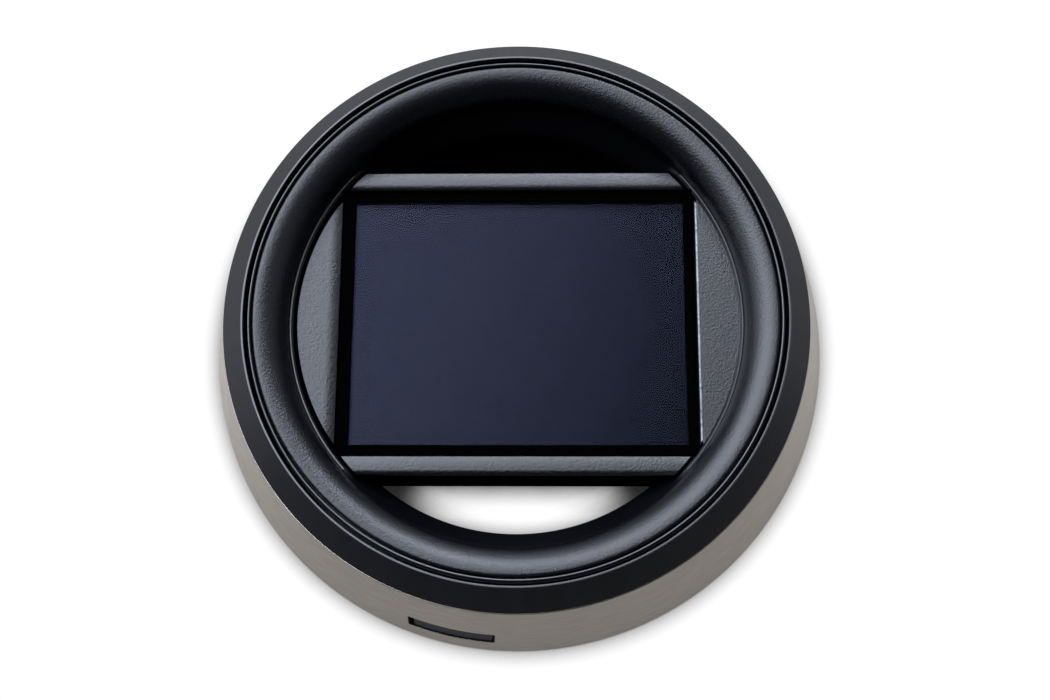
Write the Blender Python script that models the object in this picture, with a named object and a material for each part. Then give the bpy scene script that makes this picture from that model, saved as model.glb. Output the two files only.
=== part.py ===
"""Ring-shaped cooled astronomy camera, modelled as separate pieces.

Frame: origin at the centre of the resting (back) plane, +Z along the optical axis towards the
front, +X to the right and +Y up when the camera is seen from the front.
Sizes below are in millimetres and become metres when a mesh is made.
"""
import math

import bmesh
import bpy
from mathutils import Matrix

MM = 0.001
TURN_STEPS = 64
HOLE_STEPS = 10
SCREW_STEPS = 8

# Whole object
FRONT_Z = 18.6
BASE_RADIUS = 42.2
BAND_BOTTOM_Z = 0.3
BAND_TOP_Z = 15.25
BAND_TOP_RADIUS = 38.15
BAND_WALL = 1.6
TOUCH_GAP = 0.3

# Front rings
BEZEL_EDGE_RADIUS = 35.1
BEZEL_INNER_RADIUS = 34.85
BEZEL_SKIRT_RADIUS = 36.15
BEZEL_SKIRT_Z = 11.6
TRIM_OUTER_RADIUS = 34.55
TRIM_INNER_RADIUS = 33.85
TRIM_SEAT_Z = 15.2

# Housing: rolled lip, bore wall and the bridge across the bore
LIP_EDGE_RADIUS = 33.55
LIP_CREST_RADIUS = 32.6
LIP_CREST_Z = 18.35
LIP_FOOT_RADIUS = 29.75
LIP_FOOT_Z = 14.0
LIP_EDGE_DROP = 0.95
LIP_STEPS = 6
NECK_RADIUS = 27.6
NECK_Z = 9.6
BORE_WALL = 1.7
HOUSING_BOTTOM_Z = 3.0
FLANGE_RADIUS = 36.8
FLANGE_TOP_Z = 11.2
FLANGE_BOTTOM_Z = 9.8
BRIDGE_TOP_Z = 13.6
BRIDGE_HALF_Y = 20.5
UPPER_FLOOR_TOP_Z = 4.6

# Sensor stack
WINDOW_POCKET = (47.0, 36.2)
STACK_POCKET = (45.6, 34.6)
LEDGE_Z = 10.1
ACTIVE = (44.0, 33.0)
DIE = (44.9, 34.2)
PACKAGE = (45.0, 34.3)
WINDOW = (46.6, 35.8)
SIDE_POCKET = (52.8, 22.0)
SIDE_POCKET_TOP_Z = 6.6
FLEX_HALF_WIDTH = 5.0
COLD_SIDE = 26.0

# Back
REAR_COVER = (27.8, 39.2, 0.7, 2.7)
FOOT_RING = (36.5, 38.5, 0.0, 1.1)
POST_RADIUS_PLACE = 30.6
POST_RADIUS = 1.6
POST_ANGLES = [-72 + 60 * i for i in range(6)]
BOARD_RING = (32.6, 37.6, 7.3, 8.3)
BOARD_SCREW_PLACE = 35.2
BOARD_SCREW_ANGLES = (160, 280, 40)
BRIDGE_COVER_Z = (1.9, 2.7)
BRIDGE_SCREW_XY = [(sx * 7.0, sy * 18.9) for sx in (-1, 1) for sy in (-1, 1)]
SINK_SCREW_XY = [(sx * 24.6, sy * 8.0) for sx in (-1, 1) for sy in (-1, 1)]

# Fan
FAN_RADIUS = 13.2
FAN_HUB_RADIUS = 5.0
FAN_Z = (3.3, 5.0)
FAN_BLADES = 9

# Rim slot with its sliding desiccant tray, and the two sockets
SLOT_ANGLE = -102.0
SLOT_WIDTH = 11.6
SLOT_Z = (3.6, 6.9)
TRAY_SHIFT_Y = 0.25
TRAY_WIDTH = 10.6
TRAY_Z = (4.05, 6.45)
TRAY_RECESS = 0.35
TRAY_ORIGIN_X = 36.0
DATA_ANGLE = 102.0
DATA_Z = 5.3
POWER_ANGLE = 78.0
POWER_Z = 6.2


def band_radius(z):
    """Outer radius of the flared band at height z."""
    share = (z - BAND_BOTTOM_Z) / (BAND_TOP_Z - BAND_BOTTOM_Z)
    return BASE_RADIUS + (BAND_TOP_RADIUS - BASE_RADIUS) * share


def clear_scene():
    for old in list(bpy.data.objects):
        bpy.data.objects.remove(old, do_unlink=True)


def material(name, colour, roughness, metallic=0.0, transmission=0.0):
    made = bpy.data.materials.new(name)
    made.use_nodes = True
    shader = made.node_tree.nodes["Principled BSDF"]
    shader.inputs["Base Color"].default_value = (*colour, 1.0)
    shader.inputs["Roughness"].default_value = roughness
    shader.inputs["Metallic"].default_value = metallic
    shader.inputs["Transmission Weight"].default_value = transmission
    return made


def add_object(name, bm, finish, place=(0, 0, 0), turn=0.0, parent=None):
    """Write a bmesh in millimetres to a new object in metres."""
    bmesh.ops.recalc_face_normals(bm, faces=bm.faces)
    bmesh.ops.scale(bm, vec=(MM, MM, MM), verts=bm.verts)
    mesh = bpy.data.meshes.new(name)
    bm.to_mesh(mesh)
    bm.free()
    made = bpy.data.objects.new(name, mesh)
    bpy.context.collection.objects.link(made)
    made.location = [value * MM for value in place]
    made.rotation_euler = (0, 0, math.radians(turn))
    if finish is not None:
        mesh.materials.append(finish)
        mesh.shade_smooth()
        mesh.set_sharp_from_angle(angle=math.radians(32))
    if parent is not None:
        made.parent = parent
    return made


def copy_object(name, source, place, turn=0.0):
    made = bpy.data.objects.new(name, source.data)
    bpy.context.collection.objects.link(made)
    made.location = [value * MM for value in place]
    made.rotation_euler = (0, 0, math.radians(turn))
    for modifier in source.modifiers:
        twin = made.modifiers.new(modifier.name, modifier.type)
        twin.operation = modifier.operation
        twin.object = modifier.object
    return made


def tool(name, bm, place=(0, 0, 0), turn=0.0):
    """A shape that only cuts or joins others."""
    made = add_object(name, bm, None, place, turn)
    made.hide_render = True
    made.display_type = "WIRE"
    return made


def combine(target, other, operation):
    modifier = target.modifiers.new(other.name, "BOOLEAN")
    modifier.operation = operation
    modifier.object = other


def merge_into(bm, other):
    """Append one bmesh to another and free it."""
    scratch = bpy.data.meshes.new("scratch")
    other.to_mesh(scratch)
    other.free()
    bm.from_mesh(scratch)
    bpy.data.meshes.remove(scratch)
    return bm


def turned(profile, steps=TURN_STEPS, closed=True):
    """Spin an outline of (radius, z) points once round Z."""
    bm = bmesh.new()
    verts = [bm.verts.new((radius, 0, z)) for radius, z in profile]
    count = len(verts) if closed else len(verts) - 1
    edges = [bm.edges.new((verts[i], verts[(i + 1) % len(verts)])) for i in range(count)]
    bmesh.ops.spin(bm, geom=verts + edges, cent=(0, 0, 0), axis=(0, 0, 1),
                   angle=math.tau, steps=steps, use_merge=True)
    bmesh.ops.remove_doubles(bm, verts=bm.verts, dist=1e-4)
    return bm


def cylinder(radius, z_low, z_high, steps=HOLE_STEPS, x=0.0, y=0.0):
    bm = turned([(0, z_high), (radius, z_high), (radius, z_low), (0, z_low)], steps, closed=False)
    bmesh.ops.translate(bm, vec=(x, y, 0), verts=bm.verts)
    return bm


def block(x_range, y_range, z_range):
    bm = bmesh.new()
    bmesh.ops.create_cube(bm, size=1.0)
    sizes = [high - low for low, high in (x_range, y_range, z_range)]
    middles = [(high + low) / 2 for low, high in (x_range, y_range, z_range)]
    bmesh.ops.scale(bm, vec=sizes, verts=bm.verts)
    bmesh.ops.translate(bm, vec=middles, verts=bm.verts)
    return bm


def centred_block(size_x, size_y, z_low, z_high):
    return block((-size_x / 2, size_x / 2), (-size_y / 2, size_y / 2), (z_low, z_high))


def prism(outline, z_low, z_high):
    """Extrude a flat outline of (x, y) points from z_low to z_high."""
    bm = bmesh.new()
    face = bm.faces.new([bm.verts.new((x, y, z_low)) for x, y in outline])
    grown = bmesh.ops.extrude_face_region(bm, geom=[face])
    risen = [item for item in grown["geom"] if isinstance(item, bmesh.types.BMVert)]
    bmesh.ops.translate(bm, vec=(0, 0, z_high - z_low), verts=risen)
    return bm


def arc(radius, start, end, steps):
    """Points on a circle about the origin, angles in degrees."""
    angles = [math.radians(start + (end - start) * i / steps) for i in range(steps + 1)]
    return [(radius * math.cos(a), radius * math.sin(a)) for a in angles]


def ring_sector(inner, outer, start, end, z_low, z_high, steps):
    outline = arc(outer, start, end, steps) + arc(inner, end, start, steps)
    return prism(outline, z_low, z_high)


def slab_in_disc(radius, half_y, z_low, z_high, steps=12):
    """The part of a disc between y = -half_y and y = +half_y."""
    corner = math.degrees(math.asin(half_y / radius))
    outline = arc(radius, -corner, corner, steps) + arc(radius, 180 - corner, 180 + corner, steps)
    return prism(outline, z_low, z_high)


def rectangle_frame(outer, inner, z_low, z_high):
    """A flat rectangular frame: four loops of four corners, joined into walls, top and bottom."""
    bm = bmesh.new()
    corners = ((-0.5, -0.5), (0.5, -0.5), (0.5, 0.5), (-0.5, 0.5))
    loops = []
    for size, z in ((outer, z_low), (outer, z_high), (inner, z_high), (inner, z_low)):
        loops.append([bm.verts.new((x * size[0], y * size[1], z)) for x, y in corners])
    for i in range(4):
        here, there = loops[i], loops[(i + 1) % 4]
        for k in range(4):
            m = (k + 1) % 4
            bm.faces.new((here[k], here[m], there[m], there[k]))
    return bm


def outward(bm, height):
    """Lay a shape that was built along Z so that it points along +X at a given height."""
    turn = Matrix.Rotation(math.radians(90), 4, "Y")
    bmesh.ops.transform(bm, matrix=Matrix.Translation((0, 0, height)) @ turn, verts=bm.verts)
    return bm


def at_angle(angle, radius, z=0.0):
    turn = math.radians(angle)
    return (radius * math.cos(turn), radius * math.sin(turn), z)


# ---------------------------------------------------------------- finishes
def make_finishes():
    return {
        "band": material("band_metal", (0.44, 0.42, 0.39), 0.36, 1.0),
        "black": material("black_anodised", (0.012, 0.013, 0.016), 0.42, 0.2),
        "housing": material("satin_black", (0.018, 0.019, 0.023), 0.34, 0.3),
        "rubber": material("black_rubber", (0.015, 0.015, 0.015), 0.8),
        "glass": material("window_glass", (0.9, 0.92, 1.0), 0.03, 0.0, 1.0),
        "mask": material("mask_black", (0.004, 0.004, 0.004), 0.6),
        "silicon": material("sensor_silicon", (0.02, 0.022, 0.045), 0.2, 0.3),
        "ceramic": material("ceramic", (0.75, 0.73, 0.7), 0.5),
        "board": material("circuit_board", (0.01, 0.05, 0.03), 0.45),
        "chip": material("chip_black", (0.02, 0.02, 0.02), 0.5),
        "copper": material("copper", (0.72, 0.38, 0.24), 0.3, 1.0),
        "alloy": material("cast_alloy", (0.5, 0.5, 0.52), 0.4, 1.0),
        "plastic": material("black_plastic", (0.03, 0.03, 0.035), 0.5),
        "steel": material("screw_steel", (0.35, 0.35, 0.36), 0.3, 1.0),
        "nickel": material("socket_nickel", (0.62, 0.61, 0.58), 0.28, 1.0),
        "desiccant": material("desiccant_beads", (0.82, 0.8, 0.76), 0.8),
        "flex": material("flex_orange", (0.55, 0.25, 0.06), 0.4),
    }


# ---------------------------------------------------------------- outer shells
def make_outer_band(finish):
    profile = [
        (BAND_TOP_RADIUS, BAND_TOP_Z),
        (BASE_RADIUS, BAND_BOTTOM_Z),
        (BASE_RADIUS - BAND_WALL, BAND_BOTTOM_Z),
        (BAND_TOP_RADIUS - BAND_WALL, BAND_TOP_Z),
    ]
    band = add_object("outer_band", turned(profile), finish)
    slot = block((36, 45), (-SLOT_WIDTH / 2, SLOT_WIDTH / 2), SLOT_Z)
    combine(band, tool("tool_tray_slot", slot, turn=SLOT_ANGLE), "DIFFERENCE")
    data = block((36, 45), (-4.8, 4.8), (DATA_Z - 1.9, DATA_Z + 1.9))
    combine(band, tool("tool_data_hole", data, turn=DATA_ANGLE), "DIFFERENCE")
    power = outward(cylinder(3.7, 36, 45, 24), POWER_Z)
    combine(band, tool("tool_power_hole", power, turn=POWER_ANGLE), "DIFFERENCE")


def make_front_rings(finish):
    bezel_low = BAND_TOP_Z + TOUCH_GAP
    bezel = [
        (BAND_TOP_RADIUS + 0.05, bezel_low),
        (BEZEL_EDGE_RADIUS, FRONT_Z),
        (BEZEL_INNER_RADIUS, FRONT_Z),
        (BEZEL_INNER_RADIUS, BEZEL_SKIRT_Z),
        (BEZEL_SKIRT_RADIUS, BEZEL_SKIRT_Z),
        (BEZEL_SKIRT_RADIUS, bezel_low),
    ]
    add_object("front_bezel", turned(bezel), finish["black"])
    ridge_low = FRONT_Z - 0.65
    trim = [
        (TRIM_OUTER_RADIUS, ridge_low),
        (TRIM_OUTER_RADIUS, TRIM_SEAT_Z + TOUCH_GAP),
        (TRIM_INNER_RADIUS, TRIM_SEAT_Z + TOUCH_GAP),
        (TRIM_INNER_RADIUS, FRONT_Z - 0.2),
        (TRIM_INNER_RADIUS + 0.35, FRONT_Z - 0.2),
    ]
    add_object("trim_ring", turned(trim), finish["black"])


def seal_ring(name, radius, z, finish, half=0.25):
    profile = [(radius + half, z), (radius, z - half), (radius - half, z), (radius, z + half)]
    add_object(name, turned(profile, 32), finish)


# ---------------------------------------------------------------- housing
def lip_profile():
    """Rolled lip from its outer edge over the crest and down to the neck of the bore."""
    points = [(LIP_EDGE_RADIUS, LIP_CREST_Z - LIP_EDGE_DROP)]
    half_way = math.sin(math.radians(45))
    points.append((LIP_CREST_RADIUS + (LIP_EDGE_RADIUS - LIP_CREST_RADIUS) * half_way,
                   LIP_CREST_Z - LIP_EDGE_DROP * (1 - half_way)))
    for i in range(LIP_STEPS + 1):
        angle = math.radians(90 * i / LIP_STEPS)
        radius = LIP_CREST_RADIUS - (LIP_CREST_RADIUS - LIP_FOOT_RADIUS) * math.sin(angle)
        points.append((radius, LIP_CREST_Z - (LIP_CREST_Z - LIP_FOOT_Z) * (1 - math.cos(angle))))
    points.append((NECK_RADIUS, NECK_Z))
    points.append((NECK_RADIUS, HOUSING_BOTTOM_Z))
    return points


def make_front_housing(finish):
    back_side = [
        (NECK_RADIUS + BORE_WALL, HOUSING_BOTTOM_Z),
        (NECK_RADIUS + BORE_WALL, FLANGE_BOTTOM_Z),
        (FLANGE_RADIUS, FLANGE_BOTTOM_Z),
        (FLANGE_RADIUS, FLANGE_TOP_Z),
        (34.4, FLANGE_TOP_Z),
        (34.4, TRIM_SEAT_Z),
        (LIP_EDGE_RADIUS, TRIM_SEAT_Z),
    ]
    housing = add_object("front_housing", turned(lip_profile() + back_side), finish)

    low_slab = slab_in_disc(28.5, BRIDGE_HALF_Y, HOUSING_BOTTOM_Z, FLANGE_BOTTOM_Z + 0.2)
    combine(housing, tool("tool_bridge_low", low_slab), "UNION")
    high_slab = slab_in_disc(31.0, BRIDGE_HALF_Y, FLANGE_BOTTOM_Z + 0.1, BRIDGE_TOP_Z)
    combine(housing, tool("tool_bridge_high", high_slab), "UNION")

    floor_end = math.degrees(math.acos(BRIDGE_HALF_Y / 28.5))
    floor_outline = arc(28.5, 90 - floor_end, 90 + floor_end, 12)
    upper_floor = prism(floor_outline, HOUSING_BOTTOM_Z, UPPER_FLOOR_TOP_Z)
    combine(housing, tool("tool_upper_floor", upper_floor), "UNION")

    posts = bmesh.new()
    for angle in POST_ANGLES:
        x, y, _ = at_angle(angle, POST_RADIUS_PLACE)
        merge_into(posts, cylinder(POST_RADIUS, HOUSING_BOTTOM_Z, FLANGE_BOTTOM_Z + 0.2, x=x, y=y))
    for angle in BOARD_SCREW_ANGLES:
        x, y, _ = at_angle(angle, BOARD_SCREW_PLACE)
        merge_into(posts, cylinder(1.4, BOARD_RING[3] + 0.2, FLANGE_BOTTOM_Z + 0.2, x=x, y=y))
    combine(housing, tool("tool_posts", posts), "UNION")

    window_pocket = centred_block(*WINDOW_POCKET, LEDGE_Z, FRONT_Z)
    combine(housing, tool("tool_window_pocket", window_pocket), "DIFFERENCE")
    stack_pocket = centred_block(*STACK_POCKET, 0, LEDGE_Z + 1)
    combine(housing, tool("tool_stack_pocket", stack_pocket), "DIFFERENCE")
    side_pocket = centred_block(*SIDE_POCKET, 0, SIDE_POCKET_TOP_Z)
    combine(housing, tool("tool_side_pocket", side_pocket), "DIFFERENCE")

    flex_way = FLEX_HALF_WIDTH + 0.8
    board_tab_way = block((-SIDE_POCKET[0] / 2, -22), (-flex_way, flex_way), (6.0, 9.1))
    combine(housing, tool("tool_board_tab_way", board_tab_way), "DIFFERENCE")
    flex_slit = block((-31, -26), (-flex_way, flex_way), (8.2, 9.1))
    combine(housing, tool("tool_flex_slit", flex_slit), "DIFFERENCE")

    vents = bmesh.new()
    for side in (-1, 1):
        for first in (10.0, 12.8, 15.6):
            x_range = sorted((side * first, side * (first + 2.2)))
            merge_into(vents, block(x_range, (-BRIDGE_HALF_Y - 0.3, -16), (3.6, 5.2)))
    combine(housing, tool("tool_vents", vents), "DIFFERENCE")

    pilots = bmesh.new()
    for angle in POST_ANGLES:
        x, y, _ = at_angle(angle, POST_RADIUS_PLACE)
        merge_into(pilots, cylinder(0.95, 0, 8.0, x=x, y=y))
    for angle in BOARD_SCREW_ANGLES:
        x, y, _ = at_angle(angle, BOARD_SCREW_PLACE)
        merge_into(pilots, cylinder(0.8, 0, 10.6, x=x, y=y))
    for x, y in BRIDGE_SCREW_XY:
        merge_into(pilots, cylinder(0.85, 0, 6.4, x=x, y=y))
    for x, y in SINK_SCREW_XY:
        merge_into(pilots, cylinder(0.85, 6, 9.0, x=x, y=y))
    combine(housing, tool("tool_pilot_holes", pilots), "DIFFERENCE")


# ---------------------------------------------------------------- back
def make_rear_cover(finish):
    inner, outer, low, high = REAR_COVER
    groove_in = FOOT_RING[0] - TOUCH_GAP
    groove_out = FOOT_RING[1] + TOUCH_GAP
    groove_top = FOOT_RING[3] + TOUCH_GAP
    profile = [
        (outer, high),
        (outer, low),
        (groove_out, low),
        (groove_out, groove_top),
        (groove_in, groove_top),
        (groove_in, low),
        (inner, low),
        (inner, high),
    ]
    cover = add_object("rear_cover", turned(profile), finish["black"])
    holes = bmesh.new()
    for angle in POST_ANGLES:
        x, y, _ = at_angle(angle, POST_RADIUS_PLACE)
        stepped = [(0, 5), (1.0, 5), (1.0, 1.75), (1.65, 1.75), (1.65, 0), (0, 0)]
        hole = turned(stepped, HOLE_STEPS, closed=False)
        bmesh.ops.translate(hole, vec=(x, y, 0), verts=hole.verts)
        merge_into(holes, hole)
    combine(cover, tool("tool_rear_holes", holes), "DIFFERENCE")

    foot_in, foot_out, foot_low, foot_high = FOOT_RING
    foot = [(foot_out, foot_high), (foot_out, foot_low), (foot_in, foot_low), (foot_in, foot_high)]
    add_object("foot_ring", turned(foot), finish["rubber"])


def make_bridge_cover(finish):
    low, high = BRIDGE_COVER_Z
    cover = add_object("bridge_cover", slab_in_disc(27.2, BRIDGE_HALF_Y - 0.2, low, high), finish)
    grille = bmesh.new()
    for inner in (5.6, 8.3, 11.0):
        for quarter in range(4):
            start = 90 * quarter + 6
            merge_into(grille, ring_sector(inner, inner + 1.9, start, start + 78, 0, 5, 6))
    combine(cover, tool("tool_grille", grille), "DIFFERENCE")
    holes = bmesh.new()
    for x, y in BRIDGE_SCREW_XY:
        merge_into(holes, cylinder(0.85, 0, 5, x=x, y=y))
    combine(cover, tool("tool_bridge_cover_holes", holes), "DIFFERENCE")


def screw_mesh(head_radius, head, shank_radius, length, socket_radius):
    """Screw with its head's outer face at z = 0 and its shank pointing up +Z."""
    profile = [
        (0, length),
        (shank_radius, length),
        (shank_radius, head),
        (head_radius, head),
        (head_radius, 0),
        (socket_radius, 0),
        (socket_radius, head * 0.6),
        (0, head * 0.6),
    ]
    return turned(profile, SCREW_STEPS, closed=False)


def make_screws(finish):
    rear = screw_mesh(1.35, 0.75, 0.75, 6.6, 0.5)
    groups = [("rear_screw", rear, [at_angle(a, POST_RADIUS_PLACE, 0.85) for a in POST_ANGLES])]
    bridge = screw_mesh(1.2, 0.6, 0.62, 4.6, 0.45)
    head_z = BRIDGE_COVER_Z[0] - 0.75
    groups.append(("bridge_cover_screw", bridge, [(x, y, head_z) for x, y in BRIDGE_SCREW_XY]))
    sink = screw_mesh(1.1, 0.7, 0.62, 4.0, 0.45)
    groups.append(("heat_sink_screw", sink, [(x, y, 4.5) for x, y in SINK_SCREW_XY]))
    board = screw_mesh(1.1, 0.7, 0.55, 4.0, 0.45)
    places = [at_angle(a, BOARD_SCREW_PLACE, BOARD_RING[2] - 0.9) for a in BOARD_SCREW_ANGLES]
    groups.append(("board_screw", board, places))
    for base_name, bm, spots in groups:
        first = add_object(f"{base_name}_1", bm, finish, spots[0])
        for number, spot in enumerate(spots[1:], start=2):
            copy_object(f"{base_name}_{number}", first, spot)


# ---------------------------------------------------------------- sensor stack
def make_sensor_stack(finish):
    seal_inner = (STACK_POCKET[0] - 0.2, STACK_POCKET[1] - 0.2)
    mask_inner = (ACTIVE[0] + 0.1, ACTIVE[1] + 0.1)
    add_object("window_mask", rectangle_frame(WINDOW, mask_inner, 12.3, 12.9), finish["mask"])
    add_object("window_glass", centred_block(*WINDOW, 11.0, 12.1), finish["glass"])
    add_object("window_seal", rectangle_frame(WINDOW, seal_inner, 10.3, 10.8), finish["rubber"])
    add_object("sensor_die", centred_block(*DIE, 9.8, 10.1), finish["silicon"])
    add_object("sensor_package", centred_block(*PACKAGE, 8.4, 9.6), finish["ceramic"])

    board = add_object("sensor_board", centred_block(*PACKAGE, 7.3, 8.1), finish["board"])
    tab = block((-26.0, -20), (-FLEX_HALF_WIDTH, FLEX_HALF_WIDTH), (7.3, 8.1))
    combine(board, tool("tool_board_tab", tab), "UNION")
    opening = centred_block(COLD_SIDE + 1, COLD_SIDE + 1, 7, 9)
    combine(board, tool("tool_board_opening", opening), "DIFFERENCE")

    add_object("cold_plate", centred_block(COLD_SIDE, COLD_SIDE, 7.5, 8.2), finish["copper"])
    flex = block((-35.2, -23.2), (-FLEX_HALF_WIDTH, FLEX_HALF_WIDTH), (8.5, 8.75))
    add_object("sensor_flex", flex, finish["flex"])

    cooler = add_object("peltier_cooler", centred_block(24, 24, 6.4, 6.65), finish["ceramic"])
    combine(cooler, tool("tool_cooler_top", centred_block(22, 22, 7.05, 7.3)), "UNION")
    pellets = bmesh.new()
    for i in range(4):
        for j in range(4):
            x = (i - 1.5) * 5.4
            y = (j - 1.5) * 5.4
            merge_into(pellets, block((x - 1.4, x + 1.4), (y - 1.4, y + 1.4), (6.55, 7.15)))
    combine(cooler, tool("tool_pellets", pellets), "UNION")


def make_heat_sink(finish):
    sink = add_object("heat_sink", centred_block(*PACKAGE, 5.4, 6.2), finish)
    ears = centred_block(SIDE_POCKET[0] - 0.8, SIDE_POCKET[1] - 0.8, 5.4, 6.2)
    combine(sink, tool("tool_sink_ears", ears), "UNION")
    fins = bmesh.new()
    for side in (-1, 1):
        for number in range(5):
            x = side * (15.7 + 1.5 * number)
            for half in (-1, 1):
                y_range = sorted((half * 3.0, half * 16.3))
                merge_into(fins, block((x - 0.3, x + 0.3), y_range, (3.4, 5.6)))
    combine(sink, tool("tool_fins", fins), "UNION")
    holes = bmesh.new()
    for x, y in SINK_SCREW_XY:
        merge_into(holes, cylinder(0.85, 5, 7, x=x, y=y))
    combine(sink, tool("tool_sink_holes", holes), "DIFFERENCE")


def make_fan(finish):
    low, high = FAN_Z
    stator = [(3.9, 4.3), (3.9, 2.9), (0.8, 2.9), (0.8, 4.3)]
    add_object("fan_stator", turned(stator, 24), finish["copper"])
    hub = [
        (0, high),
        (FAN_HUB_RADIUS, high),
        (FAN_HUB_RADIUS, low),
        (4.3, low),
        (4.3, high - 0.4),
        (0.5, high - 0.4),
        (0.5, low),
        (0, low),
    ]
    rotor = add_object("fan_rotor", turned(hub, 24, closed=False), finish["plastic"])
    blades = bmesh.new()
    middle_z = (low + high) / 2
    for number in range(FAN_BLADES):
        blade = block((FAN_HUB_RADIUS - 0.4, FAN_RADIUS), (-0.9, 0.9), (-0.2, 0.2))
        pitch = Matrix.Rotation(math.radians(38), 4, "X")
        around = Matrix.Rotation(math.tau * number / FAN_BLADES, 4, "Z")
        lift = Matrix.Translation((0, 0, middle_z))
        bmesh.ops.transform(blade, matrix=around @ lift @ pitch, verts=blade.verts)
        merge_into(blades, blade)
    combine(rotor, tool("tool_blades", blades), "UNION")


# ---------------------------------------------------------------- electronics in the rim
def make_main_board(finish):
    inner, outer, low, high = BOARD_RING
    start = POWER_ANGLE + 14
    board = add_object("main_board", ring_sector(inner, outer, start, start + 332, low, high, 48),
                       finish["board"])
    holes = bmesh.new()
    for angle in BOARD_SCREW_ANGLES:
        x, y, _ = at_angle(angle, BOARD_SCREW_PLACE)
        merge_into(holes, cylinder(0.8, 5, 10, x=x, y=y))
    combine(board, tool("tool_board_holes", holes), "DIFFERENCE")
    for name, angle, length in (("image_processor", 205, 6.5), ("frame_memory", 232, 5.5),
                                ("cooler_driver", 330, 5.0)):
        chip = block((33.2, 36.8), (-length / 2, length / 2), (low - 1.1, low - 0.2))
        add_object(name, chip, finish["chip"], turn=angle)


def make_data_socket(finish):
    shell = block((33.0, 40.2), (-4.5, 4.5), (DATA_Z - 1.6, DATA_Z + 1.6))
    socket = add_object("data_socket", shell, finish, turn=DATA_ANGLE)
    mouth = block((34.2, 42), (-4.15, 4.15), (DATA_Z - 1.25, DATA_Z + 1.25))
    combine(socket, tool("tool_data_mouth", mouth, turn=DATA_ANGLE), "DIFFERENCE")
    tongue = block((34.0, 39.4), (-3.35, 3.35), (DATA_Z - 0.3, DATA_Z + 0.3))
    combine(socket, tool("tool_data_tongue", tongue, turn=DATA_ANGLE), "UNION")


def make_power_socket(finish):
    barrel = [(0, 39.9), (3.3, 39.9), (3.3, 31.4), (0, 31.4)]
    body = outward(turned(barrel, 24, closed=False), POWER_Z)
    socket = add_object("power_socket", body, finish, turn=POWER_ANGLE)
    mouth = outward(cylinder(2.8, 32.4, 42, 24), POWER_Z)
    combine(socket, tool("tool_power_mouth", mouth, turn=POWER_ANGLE), "DIFFERENCE")
    pin = outward(cylinder(1.0, 32.0, 38.9, 12), POWER_Z)
    combine(socket, tool("tool_power_pin", pin, turn=POWER_ANGLE), "UNION")


def make_tray(finish):
    guide = block((30.0, 37.9), (-6.3, 6.3), (3.35, 7.1))
    guide = add_object("tray_guide", guide, finish["plastic"], turn=SLOT_ANGLE)
    way = block((30.6, 40), (-5.75, 5.75), (3.85, 6.65))
    combine(guide, tool("tool_guide_way", way, turn=SLOT_ANGLE), "DIFFERENCE")

    low, high = TRAY_Z
    inner_x = 31.2
    columns = 8
    bm = bmesh.new()
    rows = []
    for i in range(columns + 1):
        y = TRAY_SHIFT_Y + TRAY_WIDTH * (i / columns - 0.5)
        front_low = math.sqrt((band_radius(low) - TRAY_RECESS) ** 2 - y * y)
        front_high = math.sqrt((band_radius(high) - TRAY_RECESS) ** 2 - y * y)
        corners = [(inner_x, low), (front_low, low), (front_high, high), (inner_x, high)]
        rows.append([bm.verts.new((x - TRAY_ORIGIN_X, y, z)) for x, z in corners])
    for this_row, next_row in zip(rows, rows[1:]):
        for k in range(4):
            m = (k + 1) % 4
            bm.faces.new((this_row[k], this_row[m], next_row[m], next_row[k]))
    bm.faces.new(rows[0])
    bm.faces.new(rows[-1])
    origin = at_angle(SLOT_ANGLE, TRAY_ORIGIN_X)
    tray = add_object("desiccant_tray", bm, finish["plastic"], origin, SLOT_ANGLE)
    y_range = (TRAY_SHIFT_Y - 4.4, TRAY_SHIFT_Y + 4.4)
    pocket = block((32.0 - TRAY_ORIGIN_X, 38.2 - TRAY_ORIGIN_X), y_range, (4.8, 8))
    pocket_tool = tool("tool_tray_pocket", pocket, origin, SLOT_ANGLE)
    combine(tray, pocket_tool, "DIFFERENCE")
    y_range = (TRAY_SHIFT_Y - 4.1, TRAY_SHIFT_Y + 4.1)
    pack = block((32.3 - TRAY_ORIGIN_X, 37.9 - TRAY_ORIGIN_X), y_range, (5.0, 6.2))
    add_object("desiccant_pack", pack, finish["desiccant"], parent=tray)


def main():
    clear_scene()
    finish = make_finishes()
    make_outer_band(finish["band"])
    make_front_rings(finish)
    seal_ring("bezel_seal", 36.6, 13.0, finish["rubber"])
    seal_ring("rear_seal", 39.75, 1.5, finish["rubber"])
    make_front_housing(finish["housing"])
    make_rear_cover(finish)
    make_bridge_cover(finish["black"])
    make_screws(finish["steel"])
    make_sensor_stack(finish)
    make_heat_sink(finish["alloy"])
    make_fan(finish)
    make_main_board(finish)
    make_data_socket(finish["nickel"])
    make_power_socket(finish["nickel"])
    make_tray(finish)


main()
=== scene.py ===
"""Looks of the ring-shaped cooled astronomy camera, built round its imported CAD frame.

Lengths are in millimetres and become metres when a mesh is made. Z is the optical axis, the
front faces +Z, and the camera rests on its back at z = 0.
"""
import math

import bmesh
import bpy
from mathutils import Matrix, Vector


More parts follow.
